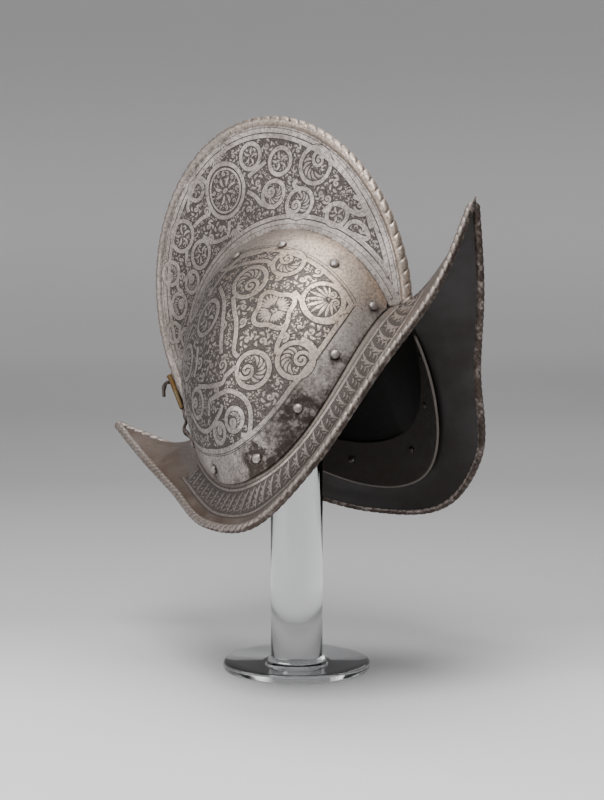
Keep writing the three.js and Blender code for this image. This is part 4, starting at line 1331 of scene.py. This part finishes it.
class MORION_OT_brim(bpy.types.Operator):
    """Boat-shaped brim with its neck inside the plates"""

    bl_idname = "morion.brim"
    bl_label = "Brim"

    def execute(self, context):
        form = helmet()
        finish = context.scene.morion_finish
        material = steel_material("brim steel", finish, ground=True, bright=0.42)
        columns, rows = 541, 50
        mesh = grid_mesh(columns, rows)
        place = flat_places(mesh)
        turn, sign = lap_of(place[:, 0])
        out = mix(-0.25, 1, place[:, 1])
        flare = form.brim(turn, np.maximum(out, 0), sign)
        neck = form.brim_neck(turn, np.clip(-out / 0.25, 0, 1), sign)
        local = np.where((out < 0)[:, None], neck, flare)
        outside = np.where(out < 0.1, 0.0, 1.0)[:, None] * (0, 0, 1)
        put(mesh, form.world(local), outside @ form.turn.T)
        start, end = brim_band(turn)
        etched = (out > start) & (out < end) & (turn > 0.03) & (turn < BRIM_BAND_END)
        seam = np.exp(-np.abs(out) / 0.05)
        rim = np.exp(-(1 - out) / 0.06)
        rear = smooth(0.4, 0.6, turn) * smooth(0.3, 0.6, out)
        spread(mesh, etched=etched, stain=0.6 * seam + 0.45 * rim, warmth=0.15,
               rusting=np.clip(0.15 + 0.75 * rear + 0.35 * seam + 0.3 * rim, 0, 1))
        weld(mesh)
        # The brim's underside gets a dark steel, partly painted shade.
        piece("brim_sheet", mesh, material, ("brim",), wall=form.plate_wall,
              bevel=0.0003, inside=inner_material("brim underside steel", 0.034))
        return {"FINISHED"}


# The brim's leaf band runs from the front peak to this share of the way to the rear peak
BRIM_BAND_END = 0.8


def brim_band(turn):
    """Where the brim's leaf band starts and ends, as shares of the way out."""
    sideways = np.sin(turn * math.pi) ** 2
    return mix(0.16, 0.13, sideways), mix(0.60, 0.72, sideways)


class MORION_OT_brim_etching(bpy.types.Operator):
    """Band of leaves between two straps etched on the brim"""

    bl_idname = "morion.brim_etching"
    bl_label = "Brim Etching"

    def execute(self, context):
        form = helmet()
        finish = context.scene.morion_finish
        for side, sign in SIDES:
            panel = Panel(lambda turn, out, sign=sign: form.brim(turn, out, sign), -1, finish.seed + 2)
            turn = np.linspace(0.03, BRIM_BAND_END, 420)
            start, end = brim_band(turn)
            for edge, inward in ((start, 1), (end, -1)):
                panel.lay(panel.straps, np.column_stack([turn, edge]), 0.0009)
                panel.lay(panel.lines, np.column_stack([turn, edge - 0.055 * inward]), 0.0002, False)
            self.leaf_row(form, panel)
            dress(form, panel, f"brim_{side}", finish, brim_tone, "brim relief steel", 0.72)
        return {"FINISHED"}

    def leaf_row(self, form, panel):
        """Leaning leaves along the band, each a long blade with three lobes on either side."""
        for turn in np.linspace(0.045, BRIM_BAND_END - 0.012, 32):
            start, end = brim_band(turn)
            width = np.linalg.norm(form.brim(turn, end, 1) - form.brim(turn, start, 1))
            centre = (turn, (start + end) / 2)
            root, tip = np.array((-0.12, -0.40)) * width, np.array((0.14, 0.40)) * width
            lean = math.atan2(*(tip - root)[::-1])
            panel.leaf(centre, root, tip, 0.14, 0.06 * width, 9)
            for part in (0.12, 0.38, 0.64):
                for hand in (1, -1):
                    heart = mix(root, tip, part) + polar(0.045 * width, lean + 1.5 * hand)
                    panel.leaf(centre, heart, heart + polar((0.30 - 0.14 * part) * width, lean + 0.75 * hand),
                               0.2 * hand, 0.038 * width, 6)


class MORION_OT_rivets(bpy.types.Operator):
    """Domed rivets along the throat and under the comb's root"""

    bl_idname = "morion.rivets"
    bl_label = "Rivets"

    def execute(self, context):
        form = helmet()
        finish = context.scene.morion_finish
        steel = steel_material("rivet steel", finish, bright=0.95, bump=0.1)
        inner = form.under_plate + form.plate_wall + form.gap + form.band_wall
        for point, normal, name in form.rivets:
            grip = inner if name.startswith("throat") else form.under_plate + form.comb_wall
            mesh = turned(self.profile(form, grip), 28, name)
            place = read_points(mesh)
            ahead = unit(np.cross(normal, (0, 1, 0)))
            axes = np.stack([ahead, np.cross(normal, ahead), normal])
            points = form.world(place @ axes + point)
            mesh.vertices.foreach_set("co", points.astype(np.float32).ravel())
            rim = np.exp(-((np.hypot(place[:, 0], place[:, 1]) - form.rivet_radius) / 0.0008) ** 2)
            spread(mesh, stain=np.where(place[:, 2] < -0.001, 1.0, 0.7 * rim), warmth=0.0,
                   rusting=0.3 * rim)
            mesh.update()
            piece(f"{name}_head", mesh, steel, (name,))
        return {"FINISHED"}

    def profile(self, form, grip):
        """A domed head, a shank and a hammered end inside."""
        shank, burr = 0.0015, 0.0026
        under = -grip - form.gap
        head = [(form.rivet_radius * math.sin(a), form.gap + (form.rivet_height - form.gap) * math.cos(a))
                for a in np.linspace(0, math.pi / 2, 9)]
        head[0] = (0, head[0][1])
        end = [(shank, form.gap), (shank, under), (burr, under), (0.0022, under - 0.0006),
               (0.0012, under - 0.0009), (0, under - 0.0009)]
        return head + end


class MORION_OT_band(bpy.types.Operator):
    """Leather band round the inside of the throat"""

    bl_idname = "morion.band"
    bl_label = "Lining Band"

    def execute(self, context):
        form = helmet()
        material = leather_material(context.scene.morion_finish)
        depth = form.under_plate + form.plate_wall + form.gap
        low, high = 0.0991, 0.9009
        past_throat = 0.02
        mesh = grid_mesh(301, 18)
        place = flat_places(mesh)
        turn, sign = lap_of(place[:, 0])
        share = mix(low, high, turn)
        top = form.down_from_throat(share, form.band_height)
        down = mix(top, 1 + past_throat, place[:, 1])
        local = form.under_bowl(share, down, sign, depth)
        put(mesh, form.world(local), local * (1, 1, 0) @ form.turn.T)
        # Lighter lower edge of the band: cut leather, partly a painted highlight.
        spread(mesh, cut_edge=np.clip(1 - 14 * (1 - place[:, 1]), 0, 1))
        weld(mesh)
        piece("leather_band", mesh, material, ("lining_band",), wall=form.band_wall,
              bevel=0.0003)
        return {"FINISHED"}


class MORION_OT_plume_holder(bpy.types.Operator):
    """Brass gutter for a plume, its elbow with a drop, and the scroll it stands on"""

    bl_idname = "morion.plume_holder"
    bl_label = "Plume Holder"

    def execute(self, context):
        form = helmet()
        finish = context.scene.morion_finish
        iron = steel_material("dark iron", finish, bright=0.15, bump=0.2)
        top, bottom = 0.122, 0.095
        part = (top - form.rear_corner[2] - form.crest_centre) / form.crest_height
        x = form.crest_forward - form.crest_length * math.sqrt(1 - part * part) - 0.004
        y = 0.003
        mesh = grid_mesh(33, 22)
        place = flat_places(mesh)
        angle = np.radians(mix(-150, 150, place[:, 0]))
        flare = 0.0005 * np.exp(-((1 - place[:, 1]) / 0.06) ** 2)
        radius = mix(0.0021, 0.0035, place[:, 1]) + flare
        outward = np.column_stack([-np.cos(angle), np.sin(angle), np.zeros(len(angle))])
        local = np.array((x, y, 0)) + outward * radius[:, None]
        local[:, 2] = mix(bottom, top, place[:, 1])
        put(mesh, form.world(local), outward @ form.turn.T)
        piece("plume_gutter", mesh, brass_material(finish), ("plume_tube",), wall=0.0007,
              bevel=0.00015)

        down = form.turn.T @ (0, 0, -1)
        start = np.array((x - 0.004 - form.gap, y, top - 0.004))
        bend = start - (0.006, 0, 0)
        elbow = curve_of([start, start + (-0.0036, 0, 0.0005), bend + down * 0.00225,
                          bend + down * 0.0085], 30)
        bead = 0.0013 + 0.0005 * np.exp(-((np.linspace(0, 1, len(elbow)) - 0.5) / 0.14) ** 2)
        self.bar(form, "plume_elbow", elbow, bead, iron, "plume_hook")

        foot = bottom - form.gap
        scroll = curve_of([(x + a, y, foot - b) for a, b in (
            (0, 0), (0, 0.009), (-0.005, 0.014), (-0.003, 0.020), (0, 0.026), (0, 0.030))], 36)
        swell = 0.0012 + 0.001 * np.sin(np.linspace(0, 2.5 * math.pi, len(scroll))) ** 4
        floor = form.brim(np.full(60, 1.0), np.linspace(0, 0.5, 60), 1)
        height = np.interp(-scroll[:, 0], -floor[:, 0], floor[:, 2])
        scroll = scroll[scroll[:, 2] > height - 0.0002]
        self.bar(form, "plume_foot_scroll", scroll, swell[:len(scroll)] * 0.95, iron, "plume_scroll")
        return {"FINISHED"}

    def bar(self, form, name, line, radii, material, replaced):
        mesh = tube(form.world(line), radii, 16, form.turn @ (0, 1, 0))[0]
        spread(mesh, stain=0.7, warmth=0.0, rusting=0.3)
        weld(mesh)
        close_ends(mesh)
        piece(name, mesh, material, (replaced,))


def curve_of(knots, count):
    """Evenly spaced points on a smooth curve through knots."""
    drawn = through(knots, 16)
    run = run_of(drawn)
    at = np.linspace(0, run[-1], count)
    return np.column_stack([np.interp(at, run, drawn[:, k]) for k in range(3)])


def close_ends(mesh):
    """Closes the open ends of a tube with rounded caps."""
    bm = bmesh.new()
    bm.from_mesh(mesh)
    rims = [edge for edge in bm.edges if edge.is_boundary]
    bmesh.ops.holes_fill(bm, edges=rims, sides=0)
    bmesh.ops.recalc_face_normals(bm, faces=bm.faces)
    bm.to_mesh(mesh)
    bm.free()


class MORION_OT_stand(bpy.types.Operator):
    """Clear rod, shaped at its top to the inside of the comb, on a clear disc"""

    bl_idname = "morion.stand"
    bl_label = "Stand"

    def execute(self, context):
        form = helmet()
        clear = clear_material()
        crown, edge, radius, rod = form.disc_crown, form.disc_edge, form.disc_radius, form.rod_radius
        round_edge = 0.0026
        arc = [(radius - round_edge + round_edge * math.sin(a), edge - round_edge + round_edge * math.cos(a))
               for a in np.linspace(math.pi / 2, 0, 5)]
        under = [(0, 0), (radius - 0.0016, 0), (radius - 0.0005, 0.0005), (radius, 0.0016)]
        level = mix(edge, crown, 0.2)
        dome = [(mix(radius, rod, 0.25), mix(edge, level, 0.5)), (rod + 0.006, level),
                (rod + 0.0028, level + 0.0004), (rod + 0.0008, mix(level, crown, 0.6)), (rod, crown)]
        mesh = turned(under + arc + dome + [(0, crown)], 128, "clear_disc")
        piece("clear_disc", mesh, clear, ("stand_foot",))
        self.rod(clear, rod, crown)
        return {"FINISHED"}

    def rod(self, clear, radius, floor):
        """The rod, with its top drawn down onto the solid rod's shaped top."""
        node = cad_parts["stand_rod"]
        solid = BVHTree.FromPolygons([vert.co for vert in node.data.vertices],
                                     [tuple(poly.vertices) for poly in node.data.polygons])
        sides, rings = 96, 14
        spare, above, clearance = 0.0001, 1.0, 0.0002
        floor += spare
        profile = [(0, floor), (radius - 0.0004, floor), (radius, floor + 0.0004), (radius, floor + 0.05)]
        profile += [(radius * (1 - k / rings), above) for k in range(rings)] + [(0, above)]
        mesh = turned(profile, sides, "clear_rod")
        inward = 0.985 * math.cos(math.pi / 24)
        for vert in mesh.vertices:
            if vert.co.z > 0.9 * above:
                eye = Vector((vert.co.x * inward, vert.co.y * inward, above))
                vert.co.z = solid.ray_cast(eye, Vector((0, 0, -1)))[0].z - clearance
        mesh.update()
        piece("clear_rod", mesh, clear, ("stand_rod",))


class MORION_OT_stage(bpy.types.Operator):
    """Pale round studio floor that rises to a grey wall, soft lights and the camera"""

    bl_idname = "morion.stage"
    bl_label = "Stage"

    def execute(self, context):
        scene = context.scene
        floor, flat, bend = -0.0004, 2.0, 0.9
        profile = [(radius, floor) for radius in (0, 0.6, 1.2, flat)]
        profile += [(flat + bend * math.sin(a), bend + floor - bend * math.cos(a))
                    for a in np.linspace(0.1, math.pi / 2, 14)]
        profile += [(flat + bend, height) for height in (2.2, 3.6)]
        mesh = turned(profile, 96, "studio")
        mesh.flip_normals()
        mesh.shade_smooth()
        material, w, shader, vector = new_material("studio paper")
        place = w.add("ShaderNodeSeparateXYZ", Vector=vector).outputs
        back = w.math("ADD", w.math("MULTIPLY", place["X"], -0.6),
                      w.math("MULTIPLY", place["Y"], 0.8))
        far = w.math("MULTIPLY", w.math("ADD", back, 0.4), 1 / 3)
        # Painted light falloff: the paper is painted pale in front of the helmet, darker behind it and
        # lighter again towards the wall's foot.
        painted_falloff = w.add("ShaderNodeValToRGB", Fac=far)
        stops = ((0.0, 1.0), (0.1, 0.87), (0.185, 0.52), (0.42, 0.38), (0.62, 0.46), (0.85, 0.72))
        for at, _ in stops[1:-1]:
            painted_falloff.color_ramp.elements.new(at)
        for element, (at, grey) in zip(painted_falloff.color_ramp.elements, stops):
            element.position = at
            element.color = (grey, grey, grey * 1.01, 1)
        # Painted light falloff on the wall: it is painted darker the higher it rises.
        wall = w.ramp(place["Z"], 0.02, 0.2)
        high = w.blend(w.ramp(place["Z"], 0.2, 0.6), (0.84, 0.825, 0.835, 1), (0.66, 0.65, 0.66, 1))
        w.set(shader, "Base Color", w.blend(wall, painted_falloff.outputs["Color"], high))
        w.set(shader, "Roughness", 0.9)
        mesh.materials.append(material)
        add_object("studio", mesh)

        world = bpy.data.worlds.new("soft room")
        world.use_nodes = True
        sky = world.node_tree.nodes["Background"].inputs
        sky["Color"].default_value = (1, 0.99, 0.985, 1)
        sky["Strength"].default_value = 0.24
        scene.world = world

        camera = bpy.data.cameras.new("camera")
        camera.sensor_fit = "VERTICAL"
        camera.sensor_height = 36
        camera.lens = 99
        eye = add_object("camera", camera)
        eye.location = (0.9265, -1.2277, 0.3784)
        eye.rotation_euler = Euler([math.radians(part) for part in (83.1, 0, 36.9)])
        scene.camera = eye

        turn = eye.rotation_euler.to_matrix()
        aim = Vector((0.02, 0, 0.22))
        for name, offset, size, watts in (
                ("key", (-0.25, 1.3, 0.8), 0.7, 20.0), ("fill", (-1.15, 0.45, 0.5), 1.2, 8.0),
                ("top", (0.0, 1.5, -0.2), 1.2, 14.0), ("back", (0.7, 0.8, -1.1), 0.8, 2.0)):
            data = bpy.data.lights.new(name, "AREA")
            data.shape = "DISK"
            data.size = size
            data.energy = watts
            lamp = add_object(name, data)
            lamp.location = aim + turn @ Vector(offset)
            lamp.rotation_euler = (aim - lamp.location).to_track_quat("-Z", "Y").to_euler()
        return {"FINISHED"}


OPERATORS = (
    MORION_OT_stage, MORION_OT_plates, MORION_OT_plate_etching, MORION_OT_comb, MORION_OT_comb_etching,
    MORION_OT_ropes, MORION_OT_brim, MORION_OT_brim_etching, MORION_OT_rivets, MORION_OT_band,
    MORION_OT_plume_holder, MORION_OT_stand,
)


class MORION_PT_panel(bpy.types.Panel):
    """Lists the helmet's pieces in the sidebar"""

    bl_label = "Morion Helmet"
    bl_idname = "MORION_PT_panel"
    bl_space_type = "VIEW_3D"
    bl_region_type = "UI"
    bl_category = "Morion"

    def draw(self, context):
        layout = self.layout
        for group in (context.scene.morion_sizes, context.scene.morion_finish):
            for name in group.__annotations__:
                layout.prop(group, name)
        for operator in OPERATORS:
            layout.operator(operator.bl_idname)


CLASSES = (MorionSizes, MorionFinish, *OPERATORS, MORION_PT_panel)


def register():
    for cls in CLASSES:
        bpy.utils.register_class(cls)
    bpy.types.Scene.morion_sizes = PointerProperty(type=MorionSizes)
    bpy.types.Scene.morion_finish = PointerProperty(type=MorionFinish)


def unregister():
    del bpy.types.Scene.morion_finish
    del bpy.types.Scene.morion_sizes
    for cls in reversed(CLASSES):
        bpy.utils.unregister_class(cls)


def main():
    register()
    for operator in OPERATORS:
        getattr(bpy.ops.morion, operator.bl_idname.split(".")[1])()


if __name__ == "__main__":
    main()
